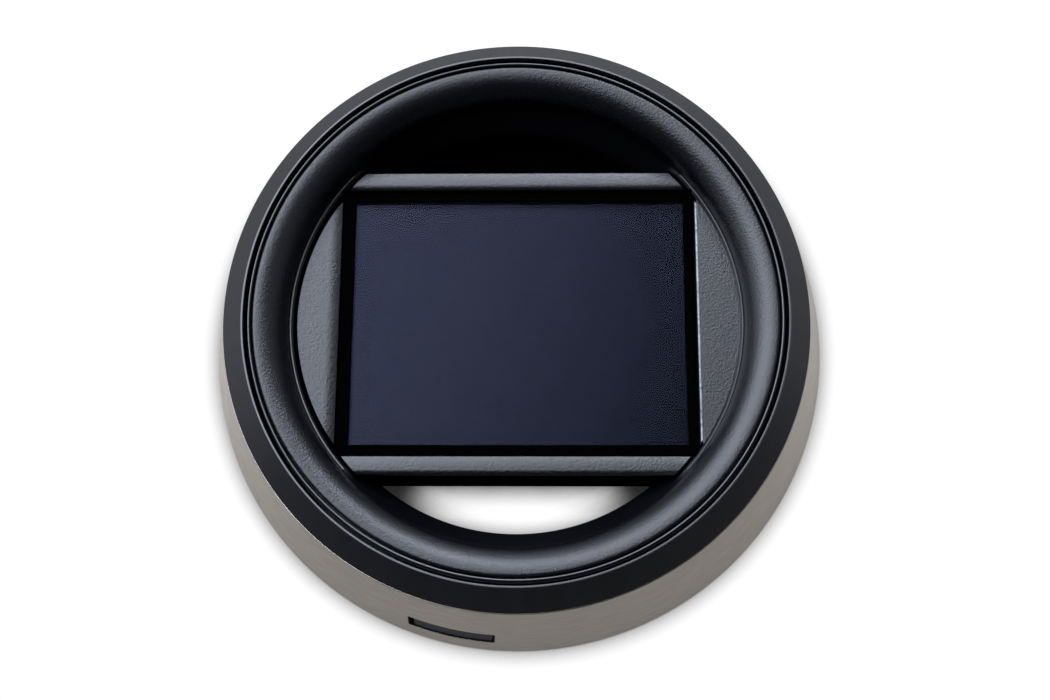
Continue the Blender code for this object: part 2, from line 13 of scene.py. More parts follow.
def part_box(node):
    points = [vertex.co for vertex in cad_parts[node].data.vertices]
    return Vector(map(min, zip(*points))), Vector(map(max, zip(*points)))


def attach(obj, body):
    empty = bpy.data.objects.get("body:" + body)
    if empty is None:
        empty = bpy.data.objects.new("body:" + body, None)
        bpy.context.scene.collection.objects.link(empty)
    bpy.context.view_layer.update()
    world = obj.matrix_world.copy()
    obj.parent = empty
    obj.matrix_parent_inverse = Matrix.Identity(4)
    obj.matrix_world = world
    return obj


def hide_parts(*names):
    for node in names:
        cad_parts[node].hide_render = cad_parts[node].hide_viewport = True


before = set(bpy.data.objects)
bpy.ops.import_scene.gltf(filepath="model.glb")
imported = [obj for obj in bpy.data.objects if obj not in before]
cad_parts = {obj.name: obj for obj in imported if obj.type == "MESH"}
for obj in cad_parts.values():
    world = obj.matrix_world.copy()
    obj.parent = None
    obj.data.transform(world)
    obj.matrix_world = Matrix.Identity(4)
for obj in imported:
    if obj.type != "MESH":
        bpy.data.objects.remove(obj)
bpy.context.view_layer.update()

MM = 0.001
TURN_STEPS = 288
BODY = "body"
FAN = "fan"
TRAY = "tray"


# ------------------------------------------------------------------ sizes read from the frame
def low_mm(node):
    return Vector(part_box(node)[0]) / MM


def high_mm(node):
    return Vector(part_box(node)[1]) / MM


BAND_BOTTOM_Z = low_mm("outer_band").z
BAND_TOP_Z = high_mm("outer_band").z
BASE_RADIUS = high_mm("outer_band").x
BEZEL_RADIUS = high_mm("front_bezel").x
BAND_TOP_RADIUS = BEZEL_RADIUS - 0.05
BAND_WALL = 1.6
FRONT_Z = high_mm("front_bezel").z
BEZEL_LOW_Z = BAND_TOP_Z + 0.3
BEZEL_EDGE_RADIUS = 35.1
BEZEL_INNER_RADIUS = 34.85
BEZEL_SKIRT_RADIUS = 36.15
SKIRT_Z = low_mm("front_bezel").z
TRIM_RADIUS = high_mm("trim_ring").x
TRIM_INNER_RADIUS = 34.0
TRIM_LOW_Z = low_mm("trim_ring").z
TRIM_TOP_Z = high_mm("trim_ring").z
LIP_Z = high_mm("front_housing").z
HOUSING_LOW_Z = low_mm("front_housing").z
FLANGE_RADIUS = high_mm("front_housing").x
MASK_HIGH = high_mm("window_mask")
GLASS_HIGH = high_mm("window_glass")
DIE_HIGH = high_mm("sensor_die")

# Opening of the mask over the sensor, and how far its middle lies off the axis
MASK_OPENING_HALF = (22.05, 16.66)
MASK_OPENING_SHIFT = (0.28, 0.12)

# Housing: lip, neck and flange
LIP_CREST_RADIUS = 33.4
LIP_EDGE_RADIUS = 33.8
LIP_ROLL = 3.6
LIP_FOOT = (29.75, 14.0)
NECK_RADIUS = 27.6
NECK_Z = 9.4
BORE_WALL = 1.7
FLANGE_BOTTOM_Z = 9.8
FLANGE_TOP_Z = 11.2
SEAT_Z = 15.2

# Housing: bridge with its bars, wings and pockets
BRIDGE_HALF_Y = 20.5
BRIDGE_TOP_Z = 13.6
BRIDGE_SEAM_Z = 12.6
BRIDGE_BODY_RADIUS = 29.25
BAR_END_RADIUS = 28.95
WING_END_RADII = {"right": 29.3, "left": 28.75}
WING_SHIFT = 0.25
WING_EDGE = 0.27
FOOT_EDGE_RADIUS = 29.55
POCKET_HALF_X = MASK_HIGH.x + 0.2
POCKET_HALF_Y = MASK_HIGH.y + 0.2
POCKET_FLOOR_Z = 10.1
STACK_HALF = (22.8, 17.3)
SIDE_POCKET_HALF = (26.4, 11.0)
SIDE_POCKET_TOP_Z = 6.6
UPPER_FLOOR_Z = 4.6
UPPER_FLOOR_RADIUS = 28.5
VENT_PLACES = (10.0, 12.8, 15.6)
VENT_WIDTH = 2.2
VENT_Z = (3.6, 5.2)

# Rim openings
SLOT_ANGLE = -102.0
SLOT_HALF_WIDTH = 5.8
SLOT_Z = (3.6, 6.9)
TRAY_SHIFT_Y = 0.25
TRAY_HALF_WIDTH = 5.3
TRAY_Z = (low_mm("desiccant_tray").z, high_mm("desiccant_tray").z)
TRAY_RECESS = 0.2
TRAY_POCKET_HALF = 4.4
GUIDE_HALF_WIDTH = 6.3
GUIDE_WAY_HALF = 5.75
GUIDE_RADII = (30.0, 37.9)
DATA_ANGLE = 102.0
DATA_Z = 5.3
POWER_ANGLE = 78.0
POWER_Z = 6.2
POWER_MOUTH_RADIUS = 3.7

# Back
REAR_SCREW_RADIUS = 30.6
REAR_SCREW_ANGLES = [-72 + 60 * i for i in range(6)]
BRIDGE_SCREW_XY = [(sx * 7.0, sy * 18.9) for sx in (-1, 1) for sy in (-1, 1)]
FOOT_LOW = low_mm("foot_ring")
FOOT_HIGH = high_mm("foot_ring")
FOOT_INNER_RADIUS = 36.5
COVER_LOW = low_mm("rear_cover")
COVER_HIGH = high_mm("rear_cover")
COVER_INNER_RADIUS = 27.8
GRILLE_LOW_Z = low_mm("bridge_cover").z
GRILLE_HIGH_Z = high_mm("bridge_cover").z
GRILLE_RADIUS = high_mm("bridge_cover").x
FAN_Z = (low_mm("fan_rotor").z, high_mm("fan_rotor").z)
FAN_RADIUS = 13.2
FAN_HUB_RADIUS = 5.0
FAN_BLADES = 9


def band_radius(z):
    """Outer radius of the flared band at height z."""
    share = (z - BAND_BOTTOM_Z) / (BAND_TOP_Z - BAND_BOTTOM_Z)
    return BASE_RADIUS + (BAND_TOP_RADIUS - BASE_RADIUS) * share


# ------------------------------------------------------------------ node helpers
class Graph:
    """Short calls for building a node tree."""

    def __init__(self, tree):
        self.nodes = tree.nodes
        self.links = tree.links

    def node(self, kind, **inputs):
        made = self.nodes.new(kind)
        for key, value in inputs.items():
            made.inputs[key].default_value = value
        return made

    def math(self, operation, first, second=None):
        made = self.nodes.new("ShaderNodeMath")
        made.operation = operation
        for socket, value in zip(made.inputs, (first, second)):
            if value is None:
                continue
            if isinstance(value, (int, float)):
                socket.default_value = value
            else:
                self.links.new(value, socket)
        return made.outputs[0]

    def ramp(self, value, start, end, kind="LINEAR"):
        """Map the start range, a pair, onto the end range."""
        made = self.nodes.new("ShaderNodeMapRange")
        made.interpolation_type = kind
        for key, number in zip(("From Min", "From Max", "To Min", "To Max"), (*start, *end)):
            made.inputs[key].default_value = number
        self.links.new(value, made.inputs["Value"])
        return made.outputs["Result"]

    def split_view(self, lighting, seen, output_kind):
        """Send one shader to the lens and the other to every other ray."""
        path = self.node("ShaderNodeLightPath")
        choose = self.node("ShaderNodeMixShader")
        self.links.new(path.outputs["Is Camera Ray"], choose.inputs["Fac"])
        self.links.new(lighting.outputs[0], choose.inputs[1])
        self.links.new(seen.outputs[0], choose.inputs[2])
        out = self.node(output_kind)
        self.links.new(choose.outputs["Shader"], out.inputs["Surface"])


# ------------------------------------------------------------------ camera, light, floor
def make_camera():
    data = bpy.data.cameras.new("view")
    data.sensor_width = 36.0
    data.lens = 46.1
    data.clip_start = 0.01
    data.clip_end = 20.0
    camera = bpy.data.objects.new("view", data)
    bpy.context.scene.collection.objects.link(camera)
    camera.location = Vector((4.46, -46.52, 183.65)) * MM
    camera.rotation_euler = [math.radians(turn) for turn in (13.998, 1.042, 0.227)]
    bpy.context.scene.camera = camera


def direction(toward_x, toward_y):
    """Unit vector tipped from straight up by these angles, towards +X and towards +Y."""
    across = math.tan(math.radians(toward_x))
    along = math.tan(math.radians(toward_y))
    return Vector((across, along, 1.0)).normalized()


def compass(azimuth, elevation):
    """Unit vector at an elevation above the horizon; azimuth 0 is +X and 90 is +Y."""
    turn = math.radians(azimuth)
    rise = math.radians(elevation)
    return Vector((math.cos(turn) * math.cos(rise), math.sin(turn) * math.cos(rise),
                   math.sin(rise)))


SOFT_SOURCES = [
    # name, centre, angle of the full part, angle where it ends, strength
    ("key", direction(-29, 26), 4, 42, 3.9),
    ("right back strip", compass(76, 42), 3, 13, 11.0),
    ("right fill", compass(25, 45), 6, 40, 0.25),
    ("back wall", compass(92, 14), 8, 40, 0.9),
    ("left wall", compass(172, 8), 4, 30, 1.2),
    ("right wall", compass(8, 8), 4, 28, 0.12),
]
SOURCE_COLOUR = (0.91, 0.97, 1.14)
DIM_SURROUND = 0.03
FLOOR_WHITE = 1.06
FLOOR_HALF = 8.0
SHADE_REACH = 4.6
# The floor's light for other rays rises from front to back, and fades out under the object
GLOW_Y = (-50.0, 15.0)
FLOOR_GLOW = (0.30, 0.52)
OPEN_FLOOR_RADII = (30.0, 46.0)
COVERED_SHARE = 0.05
FLOOR_COLOUR = (0.96, 0.97, 1.03)


def make_world():
    """A dim surround with soft sources, seen by surfaces only; the lens sees plain white."""
    world = bpy.data.worlds.new("studio")
    bpy.context.scene.world = world
    world.use_nodes = True
    world.node_tree.nodes.clear()
    graph = Graph(world.node_tree)
    where = graph.node("ShaderNodeTexCoord")
    total = DIM_SURROUND
    for name, centre, full, end, strength in SOFT_SOURCES:
        facing = graph.node("ShaderNodeVectorMath")
        facing.operation = "DOT_PRODUCT"
        facing.label = name
        facing.inputs[1].default_value = centre
        graph.links.new(where.outputs["Generated"], facing.inputs[0])
        rim = (math.cos(math.radians(end)), math.cos(math.radians(full)))
        fade = graph.ramp(facing.outputs["Value"], rim, (0.0, strength), "SMOOTHERSTEP")
        total = graph.math("ADD", fade, total)
    light = graph.node("ShaderNodeBackground", Color=(*SOURCE_COLOUR, 1.0))
    graph.links.new(total, light.inputs["Strength"])
    white = graph.node("ShaderNodeBackground", Color=(1.0, 1.0, 1.0, 1.0), Strength=FLOOR_WHITE)
    graph.split_view(light, white, "ShaderNodeOutputWorld")


def make_floor():
    """Pale table, white to the lens and dimmer to the object, shaded only close to it."""
    half = FLOOR_HALF
    mesh = bpy.data.meshes.new("floor")
    mesh.from_pydata([(-half, -half, 0), (half, -half, 0), (half, half, 0), (-half, half, 0)],
                     [], [(0, 1, 2, 3)])
    floor = bpy.data.objects.new("floor", mesh)
    bpy.context.scene.collection.objects.link(floor)
    paper = bpy.data.materials.new("white_paper")
    paper.use_nodes = True
    paper.node_tree.nodes.clear()
    graph = Graph(paper.node_tree)
    near = graph.node("ShaderNodeAmbientOcclusion", Distance=SHADE_REACH * MM)
    near.samples = 24
    seen = graph.node("ShaderNodeEmission")
    graph.links.new(graph.ramp(near.outputs["AO"], (0.35, 0.97), (0.02, FLOOR_WHITE), "SMOOTHSTEP"),
                    seen.inputs["Strength"])
    where = graph.node("ShaderNodeTexCoord").outputs["Object"]
    parts = graph.node("ShaderNodeSeparateXYZ")
    graph.links.new(where, parts.inputs[0])
    glow = graph.ramp(parts.outputs["Y"], [y * MM for y in GLOW_Y], FLOOR_GLOW, "SMOOTHSTEP")
    away = graph.node("ShaderNodeVectorMath")
    away.operation = "LENGTH"
    graph.links.new(where, away.inputs[0])
    uncovered = graph.ramp(away.outputs["Value"], [r * MM for r in OPEN_FLOOR_RADII],
                           (COVERED_SHARE, 1.0))
    cast = graph.node("ShaderNodeEmission", Color=(*FLOOR_COLOUR, 1.0))
    graph.links.new(graph.math("MULTIPLY", glow, uncovered), cast.inputs["Strength"])
    graph.split_view(cast, seen, "ShaderNodeOutputMaterial")
    mesh.materials.append(paper)


# ------------------------------------------------------------------ mesh helpers
def polar(radius, angle, z=0.0):
    turn = math.radians(angle)
    return (radius * math.cos(turn), radius * math.sin(turn), z)


def arc(radius, start, end, steps, centre=(0.0, 0.0)):
    """Points on a circle, angles in degrees."""
    points = []
    for i in range(steps + 1):
        x, y, _ = polar(radius, start + (end - start) * i / steps)
        points.append((centre[0] + x, centre[1] + y))
    return points


def rounded(corners, steps=5):
    """Outline through (a, b) points; a third number rounds that corner to its radius."""
    outline = []
    count = len(corners)
    for i, corner in enumerate(corners):
        here = Vector(corner[:2])
        radius = corner[2] if len(corner) > 2 else 0.0
        if radius == 0.0:
            outline.append(tuple(here))
            continue
        back = Vector(corners[i - 1][:2]) - here
        ahead = Vector(corners[(i + 1) % count][:2]) - here
        half = back.angle(ahead) / 2
        reach = min(radius / math.tan(half), 0.48 * back.length, 0.48 * ahead.length)
        radius = reach * math.tan(half)
        start = here + back.normalized() * reach
        end = here + ahead.normalized() * reach
        inwards = (back.normalized() + ahead.normalized()).normalized()
        middle = here + inwards * (radius / math.sin(half))
        for k in range(steps + 1):
            share = k / steps
            spoke = (start - middle).slerp(end - middle, share).normalized()
            outline.append(tuple(middle + spoke * radius))
    return outline


def divided(outline, longest=0.6):
    """The same outline with extra points along its long edges."""
    points = []
    for i, point in enumerate(outline):
        here = Vector(point)
        ahead = Vector(outline[(i + 1) % len(outline)])
        pieces_here = max(1, math.ceil((ahead - here).length / longest))
        for k in range(pieces_here):
            points.append(tuple(here.lerp(ahead, k / pieces_here)))
    return points


def rectangle(x_range, y_range, radius, steps=5):
    """Anticlockwise rectangle with rounded corners."""
    (x_low, x_high), (y_low, y_high) = x_range, y_range
    return rounded([(x_low, y_low, radius), (x_high, y_low, radius),
                    (x_high, y_high, radius), (x_low, y_high, radius)], steps)


def box_outline(half_x, half_y, radius, steps=6):
    return rectangle((-half_x, half_x), (-half_y, half_y), radius, steps)


def at_heights(levels):
    """Rings of points from (outline, height) pairs."""
    return [[(x, y, z) for x, y in outline] for outline, z in levels]


def loft(rings, close_ends=True):
    """Join equally long closed rings of points into walls, with fans over both ends."""
    bm = bmesh.new()
    made = [[bm.verts.new(point) for point in ring] for ring in rings]
    count = len(made[0])
    for this_ring, next_ring in zip(made, made[1:]):
        for k in range(count):
            m = (k + 1) % count
            bm.faces.new((this_ring[k], this_ring[m], next_ring[m], next_ring[k]))
    if close_ends:
        bm.faces.new(list(reversed(made[0])))
        bm.faces.new(made[-1])
    return bm


def closed_loft(rings):
    """Walls through all rings and back to the first one."""
    bm = loft(rings + [rings[0]], close_ends=False)
    bmesh.ops.remove_doubles(bm, verts=bm.verts, dist=1e-5)
    return bm


def swept(profile_at, steps=TURN_STEPS):
    """Closed profiles of (radius, z) points set round Z; the profile may change with the angle."""
    rings = []
    for i in range(steps):
        angle = 360.0 * i / steps
        rings.append([polar(radius, angle, z) for radius, z in profile_at(angle)])
    return closed_loft(rings)


def turned(profile, steps=TURN_STEPS):
    return swept(lambda angle: profile, steps)


def inset(outline, distance):
    """Move every edge of an anticlockwise outline inwards by a distance."""
    moved = []
    count = len(outline)
    for i in range(count):
        here = Vector(outline[i])
        back = (here - Vector(outline[i - 1])).normalized()
        ahead = (Vector(outline[(i + 1) % count]) - here).normalized()
        first = Vector((-back.y, back.x))
        second = Vector((-ahead.y, ahead.x))
        cross = first.x * second.y - first.y * second.x
        if abs(cross) < 1e-5:
            moved.append(tuple(here + second * distance))
            continue
        x = (distance * second.y - distance * first.y) / cross
        y = (first.x * distance - second.x * distance) / cross
        moved.append((here.x + x, here.y + y))
    return moved


def pillow(outline, z_low, z_high, roll, steps, low_edge=0.0):
    """Solid on an outline, its upper edge rolled over and its lower edge bevelled."""
    levels = [(outline, z_low)]
    if low_edge > 0.0:
        levels = [(inset(outline, low_edge), z_low), (outline, z_low + low_edge)]
    for i in range(steps + 1):
        turn = math.radians(90 * i / steps)
        levels.append((inset(outline, roll * (1 - math.cos(turn))),
                       z_high - roll * (1 - math.sin(turn))))
    return loft(at_heights(levels))


def framed(outer, inner, z_low, z_high, edge):
    """Flat frame between two equally long outlines, its four rims bevelled by edge."""
    out_small = inset(outer, edge)
    in_large = inset(inner, -edge)
    return closed_loft(at_heights([
        (out_small, z_low), (outer, z_low + edge), (outer, z_high - edge), (out_small, z_high),
        (in_large, z_high), (inner, z_high - edge), (inner, z_low + edge), (in_large, z_low)]))


def prism(outline, z_low, z_high):
    return loft(at_heights([(outline, z_low), (outline, z_high)]))


def block(x_range, y_range, z_range):
    return prism(rectangle(x_range, y_range, 0.0), *z_range)


def merge(parts):
    """Collect several bmeshes into the first one."""
    target = parts[0]
    for part in parts[1:]:
        scratch = bpy.data.meshes.new("scratch")
        part.to_mesh(scratch)
        part.free()
        target.from_mesh(scratch)
        bpy.data.meshes.remove(scratch)
    return target


def moved_to(bm, x, y):
    bmesh.ops.translate(bm, vec=(x, y, 0), verts=bm.verts)
    return bm


def outward(bm, angle, height=0.0):
    """Lay a shape built along +Z so that it points away from the axis at an angle."""
    lay = Matrix.Rotation(math.radians(90), 4, "Y")
    around = Matrix.Rotation(math.radians(angle), 4, "Z")
    place = around @ Matrix.Translation((0, 0, height)) @ lay
    bmesh.ops.transform(bm, matrix=place, verts=bm.verts)
    return bm


def turned_by(bm, angle):
    bmesh.ops.rotate(bm, matrix=Matrix.Rotation(math.radians(angle), 3, "Z"), verts=bm.verts)
    return bm


def new_object(name, bm):
    bmesh.ops.recalc_face_normals(bm, faces=bm.faces)
    bmesh.ops.scale(bm, vec=(MM, MM, MM), verts=bm.verts)
    mesh = bpy.data.meshes.new(name)
    bm.to_mesh(mesh)
    bm.free()
    made = bpy.data.objects.new(name, mesh)
    bpy.context.scene.collection.objects.link(made)
    return made


def carve(target, cutters):
    """Cut shapes out of the target's mesh and remove the cutters."""
    tools = [new_object("cutter", bm) for bm in cutters]
    for tool in tools:
        target.modifiers.new("cut", "BOOLEAN").object = tool
    bpy.context.view_layer.update()
    evaluated = target.evaluated_get(bpy.context.evaluated_depsgraph_get())
    result = bpy.data.meshes.new_from_object(evaluated)
    target.modifiers.clear()
    target.data = result
    for tool in tools:
        bpy.data.objects.remove(tool)
    return target


def piece(made, finish, node, body=BODY, sharp=35):
    """Give a new object its finish and tie it to the frame, hiding the frame node it stands for."""
    made.data.materials.clear()
    made.data.materials.append(FINISHES[finish])
    made.data.shade_smooth()
    made.data.set_sharp_from_angle(angle=math.radians(sharp))
    weigh = made.modifiers.new("face_normals", "WEIGHTED_NORMAL")
    weigh.keep_sharp = True
    weigh.weight = 80
    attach(made, body)
    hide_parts(node)


def surface_ring(outline, angle, lift=0.0, depth=None):
    """Outline of (sideways, z) points laid on the band's surface, raised by lift or at a depth."""
    ring = []
    for side, z in outline:
        out = depth
        if depth is None:
            out = math.sqrt(band_radius(z) ** 2 - side * side) + lift
        ring.append((out, side, z))
    turn = Matrix.Rotation(math.radians(angle), 3, "Z")
    return [tuple(turn @ Vector(point)) for point in ring]


def band_opening(outline, angle, edge):
    """Cutter through the band whose mouth has a bevel that follows the curved surface."""
    outline = divided(outline)
    bm = loft([
        surface_ring(outline, angle, depth=36.0),
        surface_ring(outline, angle, -edge),
        surface_ring(inset(outline, -4 * edge), angle, 3 * edge),
    ])
    bmesh.ops.triangulate(bm, faces=[f for f in bm.faces if len(f.verts) > 4])
    return bm


# ------------------------------------------------------------------ material helpers
class Finish(Graph):
    """A node material on a Principled shader, with short calls for its patterns."""

    def __init__(self, name, **settings):
        self.material = bpy.data.materials.new(name)
        self.material.use_nodes = True
        super().__init__(self.material.node_tree)
        self.shader = self.nodes["Principled BSDF"]
        for key, value in settings.items():
            socket = key.replace("_", " ").title().replace("Ior", "IOR")
            self.shader.inputs[socket].default_value = value
        self.where = self.nodes.new("ShaderNodeTexCoord").outputs["Object"]

    def ring_grain(self, around, across):
        """Coordinates for turned or brushed grain: long round the axis, fine across it."""
        parts = self.nodes.new("ShaderNodeSeparateXYZ")
        self.links.new(self.where, parts.inputs[0])
        x, y, z = parts.outputs
        radius = self.math("SQRT", self.math("ADD", self.math("MULTIPLY", x, x),
                                             self.math("MULTIPLY", y, y)))
        joined = self.nodes.new("ShaderNodeCombineXYZ")
        grain = (self.math("MULTIPLY", self.math("DIVIDE", x, radius), around),
                 self.math("MULTIPLY", self.math("DIVIDE", y, radius), around),
                 self.math("MULTIPLY", self.math("ADD", z, radius), across))
        for value, socket in zip(grain, joined.inputs):
            self.links.new(value, socket)
        return joined.outputs[0]

    def noise(self, scale, detail=3.0, roughness=0.5, where=None):
        made = self.node("ShaderNodeTexNoise", Scale=scale, Detail=detail, Roughness=roughness)
        self.links.new(self.where if where is None else where, made.inputs["Vector"])
        return made.outputs["Fac"]

    def colours(self, value, first, second, start=0.3, end=0.7):
        made = self.nodes.new("ShaderNodeMix")
        made.data_type = "RGBA"
        made.inputs["A"].default_value = (*first, 1.0)
        made.inputs["B"].default_value = (*second, 1.0)
        self.links.new(self.ramp(value, (start, end), (0.0, 1.0)), made.inputs["Factor"])
        self.links.new(made.outputs["Result"], self.shader.inputs["Base Color"])

    def rough(self, value, low, high):
        self.links.new(self.ramp(value, (0.3, 0.7), (low, high)), self.shader.inputs["Roughness"])

    def bump(self, *heights):
        """Stack of (height value, depth in millimetres) pairs."""
        below = None
        for height, depth in heights:
            made = self.node("ShaderNodeBump", Strength=1.0, Distance=depth * MM)
            self.links.new(height, made.inputs["Height"])
            if below is not None:
                self.links.new(below, made.inputs["Normal"])
            below = made.outputs["Normal"]
        self.links.new(below, self.shader.inputs["Normal"])


# ------------------------------------------------------------------ finishes
def brushed_band():
    finish = Finish("brushed_champagne_metal", metallic=1.0, anisotropic=0.55,
                    anisotropic_rotation=0.25)
    around = finish.node("ShaderNodeTangent")
    around.direction_type = "RADIAL"
    around.axis = "Z"
    finish.links.new(around.outputs["Tangent"], finish.shader.inputs["Tangent"])
    streaks = finish.noise(1.0, 4.0, 0.65, finish.ring_grain(14.0, 4600.0))
    hair = finish.noise(1.0, 2.0, 0.5, finish.ring_grain(50.0, 11000.0))
    clouds = finish.noise(90.0, 3.0)
    finish.colours(streaks, (0.63, 0.565, 0.465), (0.85, 0.775, 0.650))
    finish.rough(finish.math("ADD", finish.math("MULTIPLY", streaks, 0.7),
                             finish.math("MULTIPLY", clouds, 0.3)), 0.30, 0.42)
    finish.bump((streaks, 0.006), (hair, 0.004))
    return finish.material


def anodised():
    finish = Finish("black_anodised_turned", ior=1.6)
    rings = finish.noise(1.0, 3.0, 0.6, finish.ring_grain(14.0, 5000.0))
    grain = finish.noise(4500.0, 3.0, 0.6)
    finish.colours(rings, (0.0016, 0.0018, 0.0036), (0.0032, 0.0035, 0.0062))
    finish.rough(rings, 0.30, 0.38)
    finish.bump((rings, 0.004), (grain, 0.018))
    return finish.material


def polished_black():
    """Black anodising worn smooth on the narrow edges."""
    finish = Finish("black_anodised_polished", ior=2.0)
    rings = finish.noise(1.0, 3.0, 0.6, finish.ring_grain(20.0, 12000.0))
    finish.colours(rings, (0.004, 0.0045, 0.006), (0.007, 0.0075, 0.010))
    finish.rough(rings, 0.30, 0.38)
    finish.bump((rings, 0.001))
    return finish.material


def satin_housing():
    finish = Finish("satin_black_paint", ior=1.7)
    grain = finish.noise(3800.0, 3.0, 0.7)
    orange_peel = finish.noise(2700.0, 2.0, 0.5)
    clouds = finish.noise(120.0, 2.0)
    finish.colours(grain, (0.0010, 0.0011, 0.0018), (0.0040, 0.0044, 0.0066))
    finish.rough(clouds, 0.26, 0.31)
    finish.bump((orange_peel, 0.024), (grain, 0.050))
    return finish.material


def textured_bridge():
    finish = Finish("satin_black_casting", ior=1.75)
    grain = finish.noise(3600.0, 3.0, 0.7)
    orange_peel = finish.noise(2500.0, 2.0, 0.6)
    finish.colours(grain, (0.0012, 0.0015, 0.0021), (0.0055, 0.0062, 0.0082))
    finish.rough(grain, 0.20, 0.27)
    finish.bump((orange_peel, 0.034), (grain, 0.062))
    return finish.material


def flocked():
    """Light-absorbing flock of the recess floor and the walls of the bridge."""
    finish = Finish("black_flock_baffle", specular_ior_level=0.0)
    fibres = finish.noise(5200.0, 3.0, 0.7)
    finish.colours(fibres, (0.0004, 0.0004, 0.0005), (0.0022, 0.0022, 0.0026))
    finish.rough(fibres, 0.85, 0.95)
    finish.bump((fibres, 0.05))
    return finish.material


def mask_paint():
    finish = Finish("mask_black_matt", specular_ior_level=0.0)
    grain = finish.noise(8000.0, 2.0)
    finish.colours(grain, (0.0006, 0.0006, 0.0008), (0.0014, 0.0014, 0.0016))
    finish.rough(grain, 0.6, 0.75)
    finish.bump((grain, 0.004))
    return finish.material


def coated_glass():
    """Clear window whose coating reflects a faint deep blue."""
    finish = Finish("window_glass_coated", transmission_weight=1.0, ior=1.23)
    finish.shader.inputs["Specular Tint"].default_value = (0.60, 0.66, 1.0, 1.0)
    haze = finish.noise(160.0, 2.0)
    finish.colours(haze, (0.94, 0.95, 0.98), (0.97, 0.98, 1.0))
    finish.rough(haze, 0.17, 0.19)
    return finish.material


def silicon():
    """Dark blue sensor face: fine rows and a faint drift of colour over the chip."""
    finish = Finish("sensor_silicon_coated", specular_ior_level=0.0)
    drift = finish.noise(22.0, 1.0)
    rows = finish.node("ShaderNodeTexWave", Scale=9000.0)
    rows.bands_direction = "Y"
    finish.links.new(finish.where, rows.inputs["Vector"])
    finish.colours(drift, (0.0007, 0.0008, 0.0020), (0.0011, 0.0012, 0.0028))
    finish.rough(drift, 0.30, 0.36)
    finish.bump((rows.outputs["Fac"], 0.0006))
    return finish.material


def plain_finish(name, first, second, rough_range, scale=3000.0, depth=0.004, roughness=0.6,
                 **settings):
    """Fine mottled finish for plastics, rubber, boards and plain metals."""
    finish = Finish(name, **settings)
    grain = finish.noise(scale, 3.0, roughness)
    finish.colours(grain, first, second)
    finish.rough(grain, *rough_range)
    finish.bump((grain, depth))
    return finish.material


def circuit():
    finish = Finish("circuit_board_mask", ior=1.5)
    weave = finish.node("ShaderNodeTexBrick", Scale=420.0)
    finish.links.new(finish.where, weave.inputs["Vector"])
    traces = finish.noise(700.0, 2.0)
    finish.colours(traces, (0.004, 0.030, 0.016), (0.010, 0.075, 0.040), 0.45, 0.55)
    finish.rough(traces, 0.3, 0.42)
    finish.bump((weave.outputs["Fac"], 0.01))
    return finish.material


def beads():
    finish = Finish("desiccant_beads_white", ior=1.45)
    cells = finish.node("ShaderNodeTexVoronoi", Scale=900.0)
    finish.links.new(finish.where, cells.inputs["Vector"])
    # Beads are white in their middles and grey towards their rims: painted shade in the gaps between
    # the beads.
    finish.colours(cells.outputs["Distance"], (0.86, 0.84, 0.80), (0.42, 0.40, 0.36), 0.2, 0.8)
    finish.rough(cells.outputs["Distance"], 0.5, 0.8)
    finish.bump((finish.math("MULTIPLY", cells.outputs["Distance"], -1.0), 0.3))
    return finish.material


FINISHES = {
    "band_metal": brushed_band(),
    "black_anodised": anodised(),
    "polished_black": polished_black(),
    "satin_black": satin_housing(),
    "satin_bridge": textured_bridge(),
    "black_flock": flocked(),
    "black_rubber": plain_finish("black_rubber_moulded", (0.010, 0.010, 0.011),
                                 (0.018, 0.018, 0.019), (0.62, 0.78), 7000.0, 0.008, 0.5,
                                 ior=1.45),
    "mask_black": mask_paint(),
    "window_glass": coated_glass(),
    "sensor_silicon": silicon(),
    "ceramic": plain_finish("alumina_ceramic", (0.70, 0.69, 0.66), (0.80, 0.78, 0.75), (0.45, 0.6)),
    "circuit_board": circuit(),
    "chip_black": plain_finish("chip_epoxy", (0.012, 0.012, 0.013), (0.022, 0.022, 0.024),
                               (0.45, 0.6)),
    "copper": plain_finish("copper_plate", (0.62, 0.30, 0.18), (0.78, 0.42, 0.27), (0.25, 0.4),
                           metallic=1.0),
    "flex_orange": plain_finish("polyimide_flex", (0.42, 0.17, 0.03), (0.55, 0.25, 0.06),
                                (0.3, 0.45)),
    "cast_alloy": plain_finish("cast_alloy_grey", (0.38, 0.38, 0.40), (0.52, 0.52, 0.54),
                               (0.38, 0.52), metallic=1.0),
    "black_plastic": plain_finish("black_moulded_plastic", (0.011, 0.012, 0.017),
                                  (0.020, 0.022, 0.030), (0.42, 0.55), depth=0.006, ior=1.5),
    "guide_black": plain_finish("black_plastic_matt", (0.0030, 0.0030, 0.0045),
                                (0.0050, 0.0050, 0.0075), (0.55, 0.7), ior=1.2),
    # Lighter metal for the strip along the right wing's edge: a painted highlight, not wear.
    "painted_highlight_strip": plain_finish("painted_highlight_edge", (0.09, 0.10, 0.10), (0.36, 0.38, 0.36),
                              (0.28, 0.4), scale=2400.0, metallic=1.0),
    "desiccant_beads": beads(),
    "socket_nickel": plain_finish("nickel_plate", (0.56, 0.54, 0.50), (0.68, 0.66, 0.62),
                                  (0.22, 0.34), metallic=1.0),
    "screw_steel": plain_finish("blackened_steel", (0.10, 0.10, 0.105), (0.16, 0.16, 0.165),
                                (0.28, 0.4), metallic=1.0),
}


